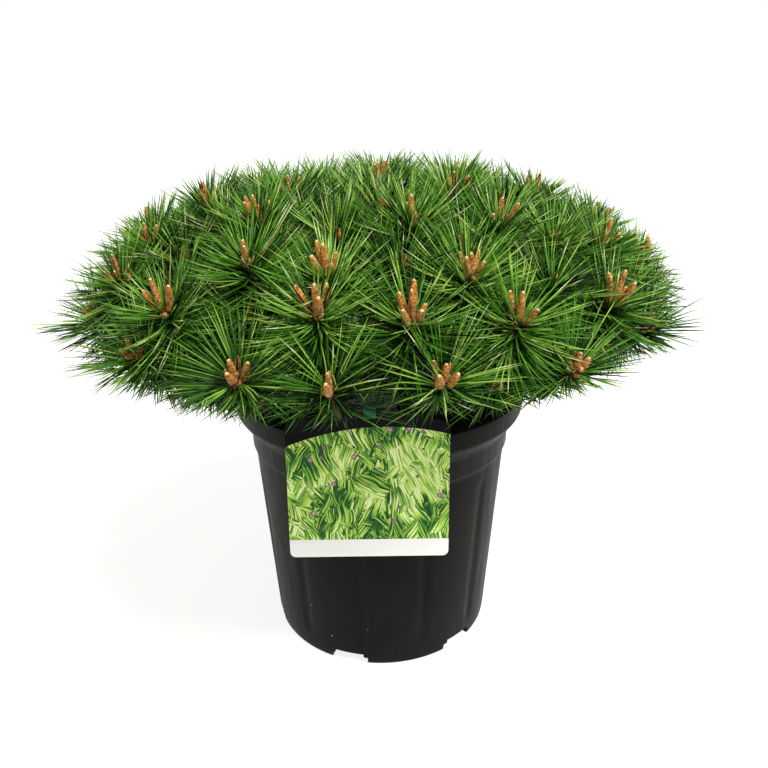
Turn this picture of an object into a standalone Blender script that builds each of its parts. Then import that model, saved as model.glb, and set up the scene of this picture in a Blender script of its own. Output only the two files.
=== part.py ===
"""A low, spreading dwarf pine in a round nursery pot, with its label card.

Metres, +Z up. The origin is the centre of the pot's flat underside, and the side that
carries the label card faces -Y. A heading is an angle round the pot's axis in degrees:
0 looks along -Y and 90 along +X.
"""
import math
import random
from dataclasses import dataclass

import bmesh
import bpy
from mathutils import Matrix, Vector

# Clearance between pieces that touch
GAP = 0.0003

# Pot
POT_HEIGHT = 0.254
POT_WALL = 0.0022
POT_SEGMENTS = 48
RIM_RADIUS = 0.140
RIM_ROUNDING = 0.0007
COLLAR_HEIGHT = 0.017
COLLAR_DRAFT = 0.0005
SHOULDER_HEIGHT = 0.018
BAND_RADIUS = 0.1272
BAND_HEIGHT = 0.018
BAND_DRAFT = 0.0006
BODY_TOP_RADIUS = 0.1242
BODY_STEP_HEIGHT = 0.003
COLLAR_FOOT_Z = POT_HEIGHT - COLLAR_HEIGHT
BAND_TOP_Z = COLLAR_FOOT_Z - SHOULDER_HEIGHT
BAND_FOOT_Z = BAND_TOP_Z - BAND_HEIGHT
BODY_TOP_Z = BAND_FOOT_Z - BODY_STEP_HEIGHT
FOOT_RADIUS = 0.1106
FOOT_ROUNDING = 0.004
FLOOR_THICKNESS = 0.0025
FLUTE_COUNT = 12
FLUTE_FIRST_HEADING = -70.0
FLUTE_DEPTH = 0.0013
FLUTE_TOP = 0.186
FLUTE_BOTTOM = 0.022
FLUTE_FADE = 0.010
NOTCH_COUNT = 6
NOTCH_FIRST_HEADING = -17.0
NOTCH_WIDTH = 0.037
NOTCH_HEIGHT = 0.012
NOTCH_DEPTH = 0.014

# Potting soil
SOIL_MIDDLE_Z = 0.231
SOIL_MIDDLE_RADIUS = 0.035
SOIL_EDGE_Z = 0.2265
SOIL_SEGMENTS = 24
SOIL_FOOT_CHAMFER = 0.010

# Label card
CARD_THICKNESS = 0.0008
CARD_MIDDLE_X = -0.010
CARD_WIDTH = 0.134
CARD_CORNER = 0.005
CARD_DROP = 0.102
CARD_SHOULDER_Z = 0.014
CARD_NECK_WIDTH = 0.044
CARD_NECK_Z = 0.030
CARD_TOP_Z = 0.038
CARD_TILT = math.radians(5.0)
CARD_BEND_RADIUS = 0.0042
CARD_TAIL_WIDTH = 0.016

# Trunk
TRUNK_TOP_Z = 0.345
TRUNK_FOOT_RADIUS = 0.0118
TRUNK_TOP_RADIUS = 0.0062
TRUNK_LEAN_X = 0.007
TRUNK_LEAN_Y = 0.004
TRUNK_FLARE = 0.55
TRUNK_FLARE_HEIGHT = 0.016
TRUNK_LOBES = 5
TRUNK_LOBE_SHARE = 0.35
TRUNK_SIDES = 16
TRUNK_RINGS = 9
TRUNK_RING_CROWDING = 1.4

# Crown: the shoots' buds lie on a cushion-shaped dome above the rim
CROWN_RADIUS = 0.252
CROWN_MIDDLE_Z = POT_HEIGHT + 0.050
CROWN_RISE = 0.135
CROWN_SQUARENESS = 2.7
ELEVATION_WOBBLE = 2.5
HEADING_WOBBLE = 2.0

# Boughs
BOUGH_SHARE = 0.54
BOUGH_RISE_DEG = 24.0
BOUGH_BEND_SHARE = 0.5
BOUGH_ARCH_SHARE = 0.3
BOUGH_FOOT_RADIUS = 0.0046
BOUGH_TIP_RADIUS = 0.0032
BOUGH_SEGMENTS = 5
LOWER_FEET_Z = (0.262, 0.281)
UPPER_FEET_Z = (0.301, 0.317)

# Masses of foliage
STEM_RADIUS = 0.0030
TWIG_RADIUS = 0.0016
TWIG_THINNING = 0.80
FORK_SHARE = 0.45
FORK_WOBBLE = 0.003
SHOOT_LENGTH = 0.042
SHOOT_FOOT_RADIUS = 0.0020
SHOOT_TIP_RADIUS = 0.0034
SHOOT_SIDES = 4
SHOOT_LIFT = 0.72
NEEDLES_PER_SHOOT = 14
NEEDLE_LENGTH = 0.056
NEEDLE_HALF_WIDTH = 0.0016
NEEDLE_OPEN_FOOT = 94.0
NEEDLE_OPEN_TIP = 50.0
NEEDLE_FIRST_SHARE = 0.15
NEEDLE_LAST_SHARE = 0.85
NEEDLE_CUTS = (1.0, 0.96, 0.92, 0.88, 0.84, 0.80, 0.76, 0.72, 0.68)
CANDLE_LENGTH = 0.026
CANDLE_FOOT_RADIUS = 0.0024
CANDLE_SIDES = 4
CANDLE_SPREAD_DEG = 16.0
CANDLE_LIFT = 0.55
CLEARANCE = 0.0005
ROOT_ZONE = 0.009
CROSSING_ROOM = 0.0020
GOLDEN_ANGLE = math.radians(137.508)
SEED = 11

# Reach of the needles: a round cushion from above, and a skirt that rises outwards from the rim
REACH_RADIUS = 0.316
REACH_RISE = 0.166
REACH_MIDDLE_Z = POT_HEIGHT + 0.047
SKIRT_Z = POT_HEIGHT + 0.009
SKIRT_SLOPE = 0.42

UP = Vector((0.0, 0.0, 1.0))
MILLIMETRE = 0.001


@dataclass
class Tier:
    """Shoots at one elevation on the dome: the headings seen from the front, and how many in all."""

    elevation: float
    seen: tuple
    count: int


LOWER_TIERS = (
    Tier(16.0, (-70, -46, -22, -6, 9, 34, 59, 80), 16),
    Tier(31.0, (-62, -40, -12, 4, 24, 47), 13),
)
UPPER_TIERS = (
    Tier(44.0, (-88, -68, -30, -8, 19, 60, 90), 12),
    Tier(57.0, (-121, -84, -40, 12, 38, 100), 9),
)
TOP_TIERS = (
    Tier(71.0, (-58, 46, 110, 180), 4),
    Tier(87.0, (0,), 1),
)
LOWER_MASSES = 10
LOWER_FIRST_HEADING = -90.0
UPPER_MASSES = 6
UPPER_FIRST_HEADING = -100.0


@dataclass
class Rod:
    """One straight, tapering stretch of a twig, a shoot, a needle or a candle."""

    start: Vector
    end: Vector
    start_radius: float
    end_radius: float
    sides: int = 3


@dataclass
class Shoot:
    """One shoot: its foot on the twig, its tip on the dome, its place there and round its ring."""

    foot: Vector
    tip: Vector
    place: Vector
    turn: float
    mass: str


def heading_vector(heading, elevation=0.0):
    """The unit vector at a heading and an elevation, both in degrees."""
    turn = math.radians(heading)
    lift = math.radians(elevation)
    return Vector((math.sin(turn) * math.cos(lift), -math.cos(turn) * math.cos(lift), math.sin(lift)))


def new_material(name, colour, roughness, metallic=0.0):
    """A Principled material in one plain finish."""
    material = bpy.data.materials.new(name)
    material.use_nodes = True
    shader = material.node_tree.nodes["Principled BSDF"]
    shader.inputs["Base Color"].default_value = (*colour, 1.0)
    shader.inputs["Roughness"].default_value = roughness
    shader.inputs["Metallic"].default_value = metallic
    return material


def add_object(name, mesh, collection, material=None):
    """A new object for a mesh, in a collection."""
    piece = bpy.data.objects.new(name, mesh)
    collection.objects.link(piece)
    if material is not None:
        mesh.materials.clear()
        mesh.materials.append(material)
    return piece


def shade_round(mesh, angle_deg=40.0):
    """Smooth shading that keeps the sharp edges."""
    mesh.shade_smooth()
    mesh.set_sharp_from_angle(angle=math.radians(angle_deg))


def applied(piece):
    """Apply a piece's modifiers, so that its mesh is the finished one."""
    depsgraph = bpy.context.evaluated_depsgraph_get()
    finished = bpy.data.meshes.new_from_object(piece.evaluated_get(depsgraph))
    piece.modifiers.clear()
    piece.data = finished
    return piece


def cut(piece, cutter):
    """Take one closed cutter out of a piece."""
    modifier = piece.modifiers.new("cut_" + cutter.name, "BOOLEAN")
    modifier.operation = "DIFFERENCE"
    modifier.object = cutter
    modifier.solver = "EXACT"


def hide_cutter(cutter):
    """Show a cutter as wire and keep it out of the model."""
    cutter.hide_render = True
    cutter.display_type = "WIRE"


def turned(name, profile, segments, phase_deg, collection, material):
    """A solid turned round the Z axis from a profile of (radius, height) points."""
    mesh = bpy.data.meshes.new(name)
    points = [(radius, 0.0, height) for radius, height in profile]
    mesh.from_pydata(points, [(i, i + 1) for i in range(len(points) - 1)], [])
    piece = add_object(name, mesh, collection, material)
    screw = piece.modifiers.new("turn", "SCREW")
    screw.steps = segments
    screw.render_steps = segments
    screw.use_merge_vertices = True
    screw.merge_threshold = 0.0001
    applied(piece)
    piece.data.transform(Matrix.Rotation(math.radians(phase_deg), 4, "Z"))
    return piece


def pot_radius(height):
    """The outer radius of the pot's straight body at a height above the ground."""
    return FOOT_RADIUS + (BODY_TOP_RADIUS - FOOT_RADIUS) * height / BODY_TOP_Z


def pot_outer_profile():
    """The pot's outer side from the rim down to the edge of its underside."""
    profile = [
        (RIM_RADIUS - RIM_ROUNDING, POT_HEIGHT),
        (RIM_RADIUS, POT_HEIGHT - RIM_ROUNDING),
        (RIM_RADIUS - COLLAR_DRAFT, COLLAR_FOOT_Z),
    ]
    shoulder_steps = 3
    collar_radius = RIM_RADIUS - COLLAR_DRAFT
    for step in range(1, shoulder_steps + 1):
        share = step / shoulder_steps
        ease = share * share * (3.0 - 2.0 * share)
        share_in = 0.5 * (share + ease)
        profile.append((collar_radius + (BAND_RADIUS - collar_radius) * share_in,
                        COLLAR_FOOT_Z - SHOULDER_HEIGHT * share))
    profile.append((BAND_RADIUS - BAND_DRAFT, BAND_FOOT_Z))
    profile.append((BODY_TOP_RADIUS, BODY_TOP_Z))
    for height in (FLUTE_TOP, FLUTE_TOP - FLUTE_FADE, FLUTE_BOTTOM + FLUTE_FADE, FLUTE_BOTTOM):
        profile.append((pot_radius(height), height))
    rounding_steps = 2
    for step in range(rounding_steps + 1):
        angle = math.radians(90.0 * step / rounding_steps)
        profile.append((FOOT_RADIUS - FOOT_ROUNDING * (1.0 - math.cos(angle)),
                        FOOT_ROUNDING * (1.0 - math.sin(angle))))
    return profile


def pot_inner_profile():
    """The pot's inner side from the middle of its floor up to the rim."""
    return [
        (0.0, FLOOR_THICKNESS),
        (FOOT_RADIUS - FOOT_ROUNDING - POT_WALL, FLOOR_THICKNESS),
        (pot_radius(FOOT_ROUNDING) - POT_WALL, FLOOR_THICKNESS + FOOT_ROUNDING),
        (BODY_TOP_RADIUS - POT_WALL, BODY_TOP_Z),
        (BAND_RADIUS - BAND_DRAFT - POT_WALL, BAND_FOOT_Z),
        (BAND_RADIUS - POT_WALL, BAND_TOP_Z),
        (RIM_RADIUS - COLLAR_DRAFT - POT_WALL, COLLAR_FOOT_Z),
        (RIM_RADIUS - POT_WALL, POT_HEIGHT),
    ]


def press_flutes(mesh):
    """Press the shallow upright flutes into the pot's outer side."""
    spacing = 360.0 / FLUTE_COUNT
    half_flute = 0.5 * 360.0 / POT_SEGMENTS
    for vertex in mesh.vertices:
        x, y, z = vertex.co
        radius = math.hypot(x, y)
        heading = math.degrees(math.atan2(x, -y))
        offset = (heading - FLUTE_FIRST_HEADING + spacing / 2.0) % spacing - spacing / 2.0
        upright = FLUTE_BOTTOM + MILLIMETRE < z < FLUTE_TOP - MILLIMETRE
        outside = radius > pot_radius(z) - 0.5 * POT_WALL
        if upright and outside and abs(offset) < half_flute:
            share = (radius - FLUTE_DEPTH) / radius
            vertex.co = (x * share, y * share, z)


def build_pot(collection, cutters, material):
    """The pot: a thin turned shell with a collar, flutes and drainage notches at its foot."""
    profile = pot_inner_profile() + pot_outer_profile() + [(0.0, 0.0)]
    first_vertex_heading = 90.0
    phase = (FLUTE_FIRST_HEADING - first_vertex_heading) % (360.0 / POT_SEGMENTS)
    pot = turned("pot", profile, POT_SEGMENTS, phase, collection, material)
    press_flutes(pot.data)
    for index in range(NOTCH_COUNT):
        heading = NOTCH_FIRST_HEADING + 360.0 * index / NOTCH_COUNT
        outward = heading_vector(heading)
        bpy.ops.mesh.primitive_cube_add(size=1.0)
        notch = bpy.context.object
        notch.name = "notch_%d" % (index + 1)
        reach = 2.0 * NOTCH_DEPTH
        size = Matrix.Diagonal((NOTCH_WIDTH, reach, 2.0 * NOTCH_HEIGHT, 1.0))
        notch.data.transform(size)
        notch.location = outward * FOOT_RADIUS
        notch.rotation_euler = (0.0, 0.0, math.radians(heading))
        for owner in list(notch.users_collection):
            owner.objects.unlink(notch)
        cutters.objects.link(notch)
        hide_cutter(notch)
        cut(pot, notch)
    shade_round(pot.data)
    return pot


def build_soil(collection, material):
    """The potting soil: fills the pot to a little below the rim, slightly mounded."""
    inset = POT_WALL + GAP
    floor = FLOOR_THICKNESS + GAP
    shoulder_slope = (RIM_RADIUS - COLLAR_DRAFT - BAND_RADIUS) / SHOULDER_HEIGHT
    edge_radius = BAND_RADIUS - inset + (SOIL_EDGE_Z - BAND_TOP_Z) * shoulder_slope
    profile = [
        (0.0, SOIL_MIDDLE_Z),
        (SOIL_MIDDLE_RADIUS, SOIL_MIDDLE_Z),
        (edge_radius, SOIL_EDGE_Z),
        (BAND_RADIUS - inset, BAND_TOP_Z),
        (BAND_RADIUS - BAND_DRAFT - inset, BAND_FOOT_Z),
        (BODY_TOP_RADIUS - inset, BODY_TOP_Z),
        (pot_radius(SOIL_FOOT_CHAMFER) - inset, floor + SOIL_FOOT_CHAMFER),
        (FOOT_RADIUS - SOIL_FOOT_CHAMFER - inset, floor),
        (0.0, floor),
    ]
    phase = FLUTE_FIRST_HEADING % (360.0 / POT_SEGMENTS)
    soil = turned("soil", profile, SOIL_SEGMENTS, phase, collection, material)
    shade_round(soil.data)
    return soil


def card_plane_y(height):
    """The Y of the card's middle plane at a height, where it leans on the rim."""
    rim_y = -(RIM_RADIUS + GAP + 0.5 * CARD_THICKNESS)
    return rim_y + (height - POT_HEIGHT) * math.tan(CARD_TILT)


def card_stations():
    """The card from its lower edge over the rim to its tail: (y, z, half width) along its length."""
    half = 0.5 * CARD_WIDTH
    neck = 0.5 * CARD_NECK_WIDTH
    bottom = POT_HEIGHT - CARD_DROP
    stations = []
    corner_steps = 3
    for step in range(corner_steps + 1):
        angle = math.radians(90.0 * step / corner_steps)
        height = bottom + CARD_CORNER * (1.0 - math.cos(angle))
        stations.append((card_plane_y(height), height, half - CARD_CORNER * (1.0 - math.sin(angle))))
    shoulder_steps = 4
    for step in range(shoulder_steps + 1):
        share = step / shoulder_steps
        height = POT_HEIGHT + CARD_SHOULDER_Z + (CARD_NECK_Z - CARD_SHOULDER_Z) * share
        ease = share * share * (3.0 - 2.0 * share)
        stations.append((card_plane_y(height), height, half + (neck - half) * ease))
    crest = POT_HEIGHT + CARD_TOP_Z
    front_y = card_plane_y(crest)
    bend_steps = 6
    for step in range(bend_steps + 1):
        angle = math.pi * step / bend_steps
        y = front_y + CARD_BEND_RADIUS * (1.0 - math.cos(angle))
        stations.append((y, crest + CARD_BEND_RADIUS * math.sin(angle), neck))
    tail_y = front_y + 2.0 * CARD_BEND_RADIUS
    stations.append((tail_y, POT_HEIGHT, 0.5 * (neck + 0.5 * CARD_TAIL_WIDTH)))
    stations.append((tail_y, SOIL_EDGE_Z + 2.0 * GAP + CARD_THICKNESS, 0.5 * CARD_TAIL_WIDTH))
    return stations


def build_card(collection, material):
    """The label card: one stiff strip, hung over the rim by its bend, its tail on the soil."""
    mesh = bpy.data.meshes.new("label_card")
    points = []
    faces = []
    for y, z, half in card_stations():
        points.append((CARD_MIDDLE_X - half, y, z))
        points.append((CARD_MIDDLE_X + half, y, z))
    for index in range(len(points) // 2 - 1):
        left = 2 * index
        faces.append((left, left + 1, left + 3, left + 2))
    mesh.from_pydata(points, [], faces)
    card = add_object("label_card", mesh, collection, material)
    solidify = card.modifiers.new("thickness", "SOLIDIFY")
    solidify.thickness = CARD_THICKNESS
    solidify.offset = 0.0
    solidify.use_even_offset = True
    return card


def trunk_axis(height):
    """The middle of the trunk at a height, with its lean."""
    share = (height - SOIL_MIDDLE_Z) / (TRUNK_TOP_Z - SOIL_MIDDLE_Z)
    return Vector((TRUNK_LEAN_X * share * share, TRUNK_LEAN_Y * share, height))


def trunk_radius(height, angle=0.0):
    """The trunk's radius at a height: an even taper, and a lobed root flare at its foot."""
    share = (height - SOIL_MIDDLE_Z) / (TRUNK_TOP_Z - SOIL_MIDDLE_Z)
    taper = TRUNK_FOOT_RADIUS + (TRUNK_TOP_RADIUS - TRUNK_FOOT_RADIUS) * share
    flare = TRUNK_FLARE * math.exp(-(height - SOIL_MIDDLE_Z) / TRUNK_FLARE_HEIGHT)
    lobes = 1.0 + TRUNK_LOBE_SHARE * math.cos(TRUNK_LOBES * angle)
    return taper * (1.0 + flare * lobes)


def trunk_mesh(name, grow):
    """The trunk as a loft from its flared, lobed foot to its round tip, grown by an amount."""
    bm = bmesh.new()
    foot = SOIL_MIDDLE_Z + GAP - grow
    top = TRUNK_TOP_Z + grow
    rings = []
    for ring in range(TRUNK_RINGS):
        share = ring / (TRUNK_RINGS - 1)
        height = foot + (top - foot) * share ** TRUNK_RING_CROWDING
        middle = trunk_axis(height)
        row = []
        for side in range(TRUNK_SIDES):
            angle = 2.0 * math.pi * side / TRUNK_SIDES
            radius = trunk_radius(height, angle) + grow
            offset = Vector((radius * math.cos(angle), radius * math.sin(angle), 0.0))
            row.append(bm.verts.new(middle + offset))
        rings.append(row)
    for lower, upper in zip(rings, rings[1:]):
        for side in range(TRUNK_SIDES):
            after = (side + 1) % TRUNK_SIDES
            bm.faces.new((lower[side], lower[after], upper[after], upper[side]))
    bm.faces.new(list(reversed(rings[0])))
    bm.faces.new(rings[-1])
    mesh = bpy.data.meshes.new(name)
    bm.to_mesh(mesh)
    bm.free()
    return mesh


def dome_point(place, share=1.0):
    """The point at a share of the way from the dome's middle to its surface.

    A place is a unit vector in the dome's own scale, where the dome's middle is the origin.
    """
    level = math.hypot(place.x, place.y)
    power = CROWN_SQUARENESS
    stretch = (level ** power + abs(place.z) ** power) ** (-1.0 / power)
    return Vector((place.x * CROWN_RADIUS, place.y * CROWN_RADIUS, place.z * CROWN_RISE)) * stretch * share \
        + Vector((0.0, 0.0, CROWN_MIDDLE_Z))


def tier_headings(tier):
    """The headings of a tier: those seen from the front, then the hidden side filled evenly."""
    seen = [float(heading) for heading in tier.seen]
    missing = tier.count - len(seen)
    open_arc = seen[0] + 360.0 - seen[-1]
    step = open_arc / (missing + 1)
    return seen + [seen[-1] + step * (index + 1) for index in range(missing)]


def make_shoot(heading, elevation, turn, mass):
    """One shoot that stands on the dome and turns up towards the light."""
    place = heading_vector(heading, elevation)
    tip = dome_point(place)
    normal = Vector((place.x / CROWN_RADIUS, place.y / CROWN_RADIUS, place.z / CROWN_RISE)).normalized()
    steepness = math.degrees(math.asin(normal.z))
    axis = heading_vector(heading, 90.0 - (90.0 - steepness) * SHOOT_LIFT)
    return Shoot(tip - axis * SHOOT_LENGTH, tip, place, turn, mass)


def ring_shoots(tiers, masses, first_heading, prefix, rng):
    """The shoots of a ring of tiers, each given to the mass in whose sector it stands."""
    shoots = []
    sector = 360.0 / masses
    for tier in tiers:
        for heading in tier_headings(tier):
            turn = (heading - first_heading) % 360.0
            mass = "%s_%02d" % (prefix, int(turn // sector) + 1)
            swung = heading + rng.uniform(-HEADING_WOBBLE, HEADING_WOBBLE)
            lifted = tier.elevation + rng.uniform(-ELEVATION_WOBBLE, ELEVATION_WOBBLE)
            shoots.append(make_shoot(swung, lifted, turn, mass))
    return shoots


def middle_place(shoots):
    """The middle of a mass on the dome."""
    total = Vector((0.0, 0.0, 0.0))
    for shoot in shoots:
        total += shoot.place
    return total.normalized()


def branch(start, radius, shoots, rng):
    """The rods of a stem that halves its shoots at each fork until each has its own twig."""
    if len(shoots) == 1:
        return [Rod(start, shoots[0].foot, radius, SHOOT_FOOT_RADIUS)]
    middle = sum((shoot.foot for shoot in shoots), Vector()) / len(shoots)
    fork = start.lerp(middle, FORK_SHARE)
    fork += Vector([rng.uniform(-FORK_WOBBLE, FORK_WOBBLE) for _ in range(3)])
    thinner = max(TWIG_RADIUS, radius * TWIG_THINNING)
    ordered = sorted(shoots, key=lambda shoot: shoot.turn)
    half = len(ordered) // 2
    rods = [Rod(start, fork, radius, thinner)]
    for group in (ordered[:half], ordered[half:]):
        rods += branch(fork, thinner, group, rng)
    return rods


def shoot_rod(shoot):
    """The slim core of one shoot."""
    return Rod(shoot.foot, shoot.tip, SHOOT_FOOT_RADIUS, SHOOT_TIP_RADIUS, SHOOT_SIDES)


def across(axis, angle):
    """A unit vector square to an axis, turned round it by an angle."""
    side = axis.cross(UP)
    if side.length < 0.001:
        side = Vector((1.0, 0.0, 0.0))
    side.normalize()
    return Matrix.Rotation(angle, 3, axis) @ side


def in_reach(point):
    """Whether a needle may end at a point: inside the crown's cushion and over its skirt."""
    level = math.hypot(point.x, point.y)
    cushion = (level / REACH_RADIUS) ** 2 + ((point.z - REACH_MIDDLE_Z) / REACH_RISE) ** 2
    skirt = SKIRT_Z + SKIRT_SLOPE * max(0.0, level - RIM_RADIUS)
    return cushion <= 1.0 and point.z >= skirt


def needle_rods(shoot, rng):
    """The larger-than-life needles of one shoot, spiralling up its core."""
    axis = (shoot.tip - shoot.foot).normalized()
    first_turn = rng.uniform(0.0, 2.0 * math.pi)
    rods = []
    for index in range(NEEDLES_PER_SHOOT):
        share = (index + 0.5) / NEEDLES_PER_SHOOT
        along = NEEDLE_FIRST_SHARE + (NEEDLE_LAST_SHARE - NEEDLE_FIRST_SHARE) * share
        opening = math.radians(NEEDLE_OPEN_FOOT + (NEEDLE_OPEN_TIP - NEEDLE_OPEN_FOOT) * share)
        side = across(axis, first_turn + GOLDEN_ANGLE * index)
        way = axis * math.cos(opening) + side * math.sin(opening)
        length = NEEDLE_LENGTH * rng.uniform(0.92, 1.05)
        root = shoot.foot.lerp(shoot.tip, along) - axis * SHOOT_FOOT_RADIUS
        for cut in NEEDLE_CUTS:
            if in_reach(root + way * length * cut):
                rods.append(Rod(root, root + way * length * cut, NEEDLE_HALF_WIDTH, 0.0))
                break
    return rods


def candle_rods(shoot, rng):
    """The upright candles at the tip of one shoot."""
    axis = (shoot.tip - shoot.foot).normalized()
    upright = axis.lerp(UP, CANDLE_LIFT).normalized()
    count = rng.choice((2, 3, 3, 4))
    first_turn = rng.uniform(0.0, 2.0 * math.pi)
    rods = []
    for index in range(count):
        spread = math.radians(CANDLE_SPREAD_DEG) * (0.25 if index == 0 else 1.0)
        side = across(upright, first_turn + 2.0 * math.pi * index / max(1, count - 1))
        way = (upright * math.cos(spread) + side * math.sin(spread)).normalized()
        length = CANDLE_LENGTH * (1.0 if index == 0 else rng.uniform(0.55, 0.85))
        root = shoot.tip - axis * SHOOT_TIP_RADIUS + side * SHOOT_FOOT_RADIUS
        rods.append(Rod(root, root + way * length, CANDLE_FOOT_RADIUS, 0.0, CANDLE_SIDES))
    return rods


def segment_distance(first, second):
    """The shortest distance between the middle lines of two rods."""
    along = first.end - first.start
    other = second.end - second.start
    offset = first.start - second.start
    a = along.dot(along)
    b = along.dot(other)
    c = other.dot(other)
    d = along.dot(offset)
    e = other.dot(offset)
    spread = a * c - b * b
    s = 0.0 if spread < 1e-12 else min(1.0, max(0.0, (b * e - c * d) / spread))
    t = min(1.0, max(0.0, (b * s + e) / c))
    s = min(1.0, max(0.0, (b * t - d) / a))
    return (first.start + along * s - second.start - other * t).length


def beyond_root(rod):
    """The stretch of a rod past its sunk root."""
    share = ROOT_ZONE / (rod.end - rod.start).length
    return Rod(rod.start.lerp(rod.end, share), rod.end, rod.start_radius, rod.end_radius)


def crosses(rod, others):
    """Whether a needle or candle would run into another of its mass past their sunk roots."""
    outer = beyond_root(rod)
    for other in others:
        if segment_distance(outer, beyond_root(other)) < CROSSING_ROOM:
            return True
    return False


class Crown:
    """The whole crown: its shoots, the masses they form, and the limbs that carry them."""

    def __init__(self):
        rng = random.Random(SEED)
        self.shoots = ring_shoots(LOWER_TIERS, LOWER_MASSES, LOWER_FIRST_HEADING, "foliage_low", rng)
        self.shoots += ring_shoots(UPPER_TIERS, UPPER_MASSES, UPPER_FIRST_HEADING, "foliage_high", rng)
        self.shoots += ring_shoots(TOP_TIERS, 1, 0.0, "foliage_top", rng)
        self.masses = {}
        for shoot in self.shoots:
            self.masses.setdefault(shoot.mass, []).append(shoot)
        self.boughs = {}
        self.wood = {}
        feet = {"foliage_low": 0, "foliage_high": 0}
        for name in sorted(self.masses):
            shoots = self.masses[name]
            if name.startswith("foliage_top"):
                stem_start = trunk_axis(TRUNK_TOP_Z) + UP * GAP
                self.wood[name] = branch(stem_start, STEM_RADIUS, shoots, rng)
                continue
            ring = name.rsplit("_", 1)[0]
            heights = LOWER_FEET_Z if ring == "foliage_low" else UPPER_FEET_Z
            foot = trunk_axis(heights[feet[ring] % len(heights)])
            feet[ring] += 1
            path = self.bough_path(foot, dome_point(middle_place(shoots), BOUGH_SHARE))
            self.boughs[name.replace("foliage", "bough")] = path
            way = (path[-1] - path[-2]).normalized()
            self.wood[name] = self.stem(path[-1] + way * GAP, way, shoots, rng)
        self.bough_rods = []
        for path in self.boughs.values():
            for start, end in zip(path, path[1:]):
                self.bough_rods.append(Rod(start, end, BOUGH_FOOT_RADIUS, BOUGH_FOOT_RADIUS))

    @staticmethod
    def bough_path(foot, tip):
        """The middle line of one bough, which rises off the trunk and levels out."""
        level = Vector((tip.x - foot.x, tip.y - foot.y, 0.0))
        rise = math.tan(math.radians(BOUGH_RISE_DEG))
        bend = foot + level * BOUGH_BEND_SHARE
        bend += UP * (BOUGH_BEND_SHARE * level.length * rise + BOUGH_ARCH_SHARE * (tip.z - foot.z))
        path = []
        for step in range(BOUGH_SEGMENTS + 1):
            share = step / BOUGH_SEGMENTS
            path.append(foot.lerp(bend, share).lerp(bend.lerp(tip, share), share))
        return path

    @staticmethod
    def stem(start, way, shoots, rng):
        """A mass's wood: a short stem in line with its bough, and the forks beyond it."""
        knee = start + way * 3.0 * STEM_RADIUS
        return [Rod(start, knee, STEM_RADIUS, STEM_RADIUS, 5)] + branch(knee, STEM_RADIUS, shoots, rng)

    def side_room(self, point, mass):
        """How far a point lies inside the space of a mass, before the next mass's space."""
        own_best = None
        own_value = -2.0
        other_best = None
        other_value = -2.0
        offset = point - Vector((0.0, 0.0, CROWN_MIDDLE_Z))
        scaled = Vector((offset.x / CROWN_RADIUS, offset.y / CROWN_RADIUS, offset.z / CROWN_RISE))
        for shoot in self.shoots:
            value = scaled.dot(shoot.place)
            if shoot.mass == mass:
                if value > own_value:
                    own_value = value
                    own_best = shoot
            elif value > other_value:
                other_value = value
                other_best = shoot
        difference = own_best.place - other_best.place
        slope = Vector((difference.x / CROWN_RADIUS, difference.y / CROWN_RADIUS, difference.z / CROWN_RISE))
        return (own_value - other_value) / slope.length

    def is_clear(self, rod, mass):
        """Whether a needle or candle stays in its mass's space and off every limb, the pot and the card."""
        samples = 7
        for index in range(samples):
            share = index / (samples - 1)
            point = rod.start.lerp(rod.end, share)
            half_width = rod.start_radius + (rod.end_radius - rod.start_radius) * share
            if self.side_room(point, mass) < half_width + CLEARANCE:
                return False
            if touches_pot(point, half_width + CLEARANCE) or touches_card(point, half_width + CLEARANCE):
                return False
        trunk = Rod(trunk_axis(SOIL_MIDDLE_Z), trunk_axis(TRUNK_TOP_Z), TRUNK_FOOT_RADIUS, TRUNK_FOOT_RADIUS)
        others = [trunk] + self.bough_rods
        for name, rods in self.wood.items():
            if name != mass:
                others += rods
        for other in others:
            if segment_distance(rod, other) < rod.start_radius + other.start_radius + CLEARANCE:
                return False
        return True


def touches_pot(point, room):
    """Whether a point comes nearer than some room to the pot or the soil."""
    return point.z < POT_HEIGHT + room and math.hypot(point.x, point.y) < RIM_RADIUS + room


def touches_card(point, room):
    """Whether a point comes nearer than some room to the label card."""
    reach = 0.5 * CARD_WIDTH + room
    beside = abs(point.x - CARD_MIDDLE_X) > reach
    above = point.z > POT_HEIGHT + CARD_TOP_Z + CARD_BEND_RADIUS + CARD_THICKNESS + room
    front = card_plane_y(min(point.z, POT_HEIGHT + CARD_TOP_Z)) - room - CARD_THICKNESS
    back = card_plane_y(POT_HEIGHT + CARD_TOP_Z) + 2.0 * CARD_BEND_RADIUS + CARD_THICKNESS + room
    return not beside and not above and front < point.y < back


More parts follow.
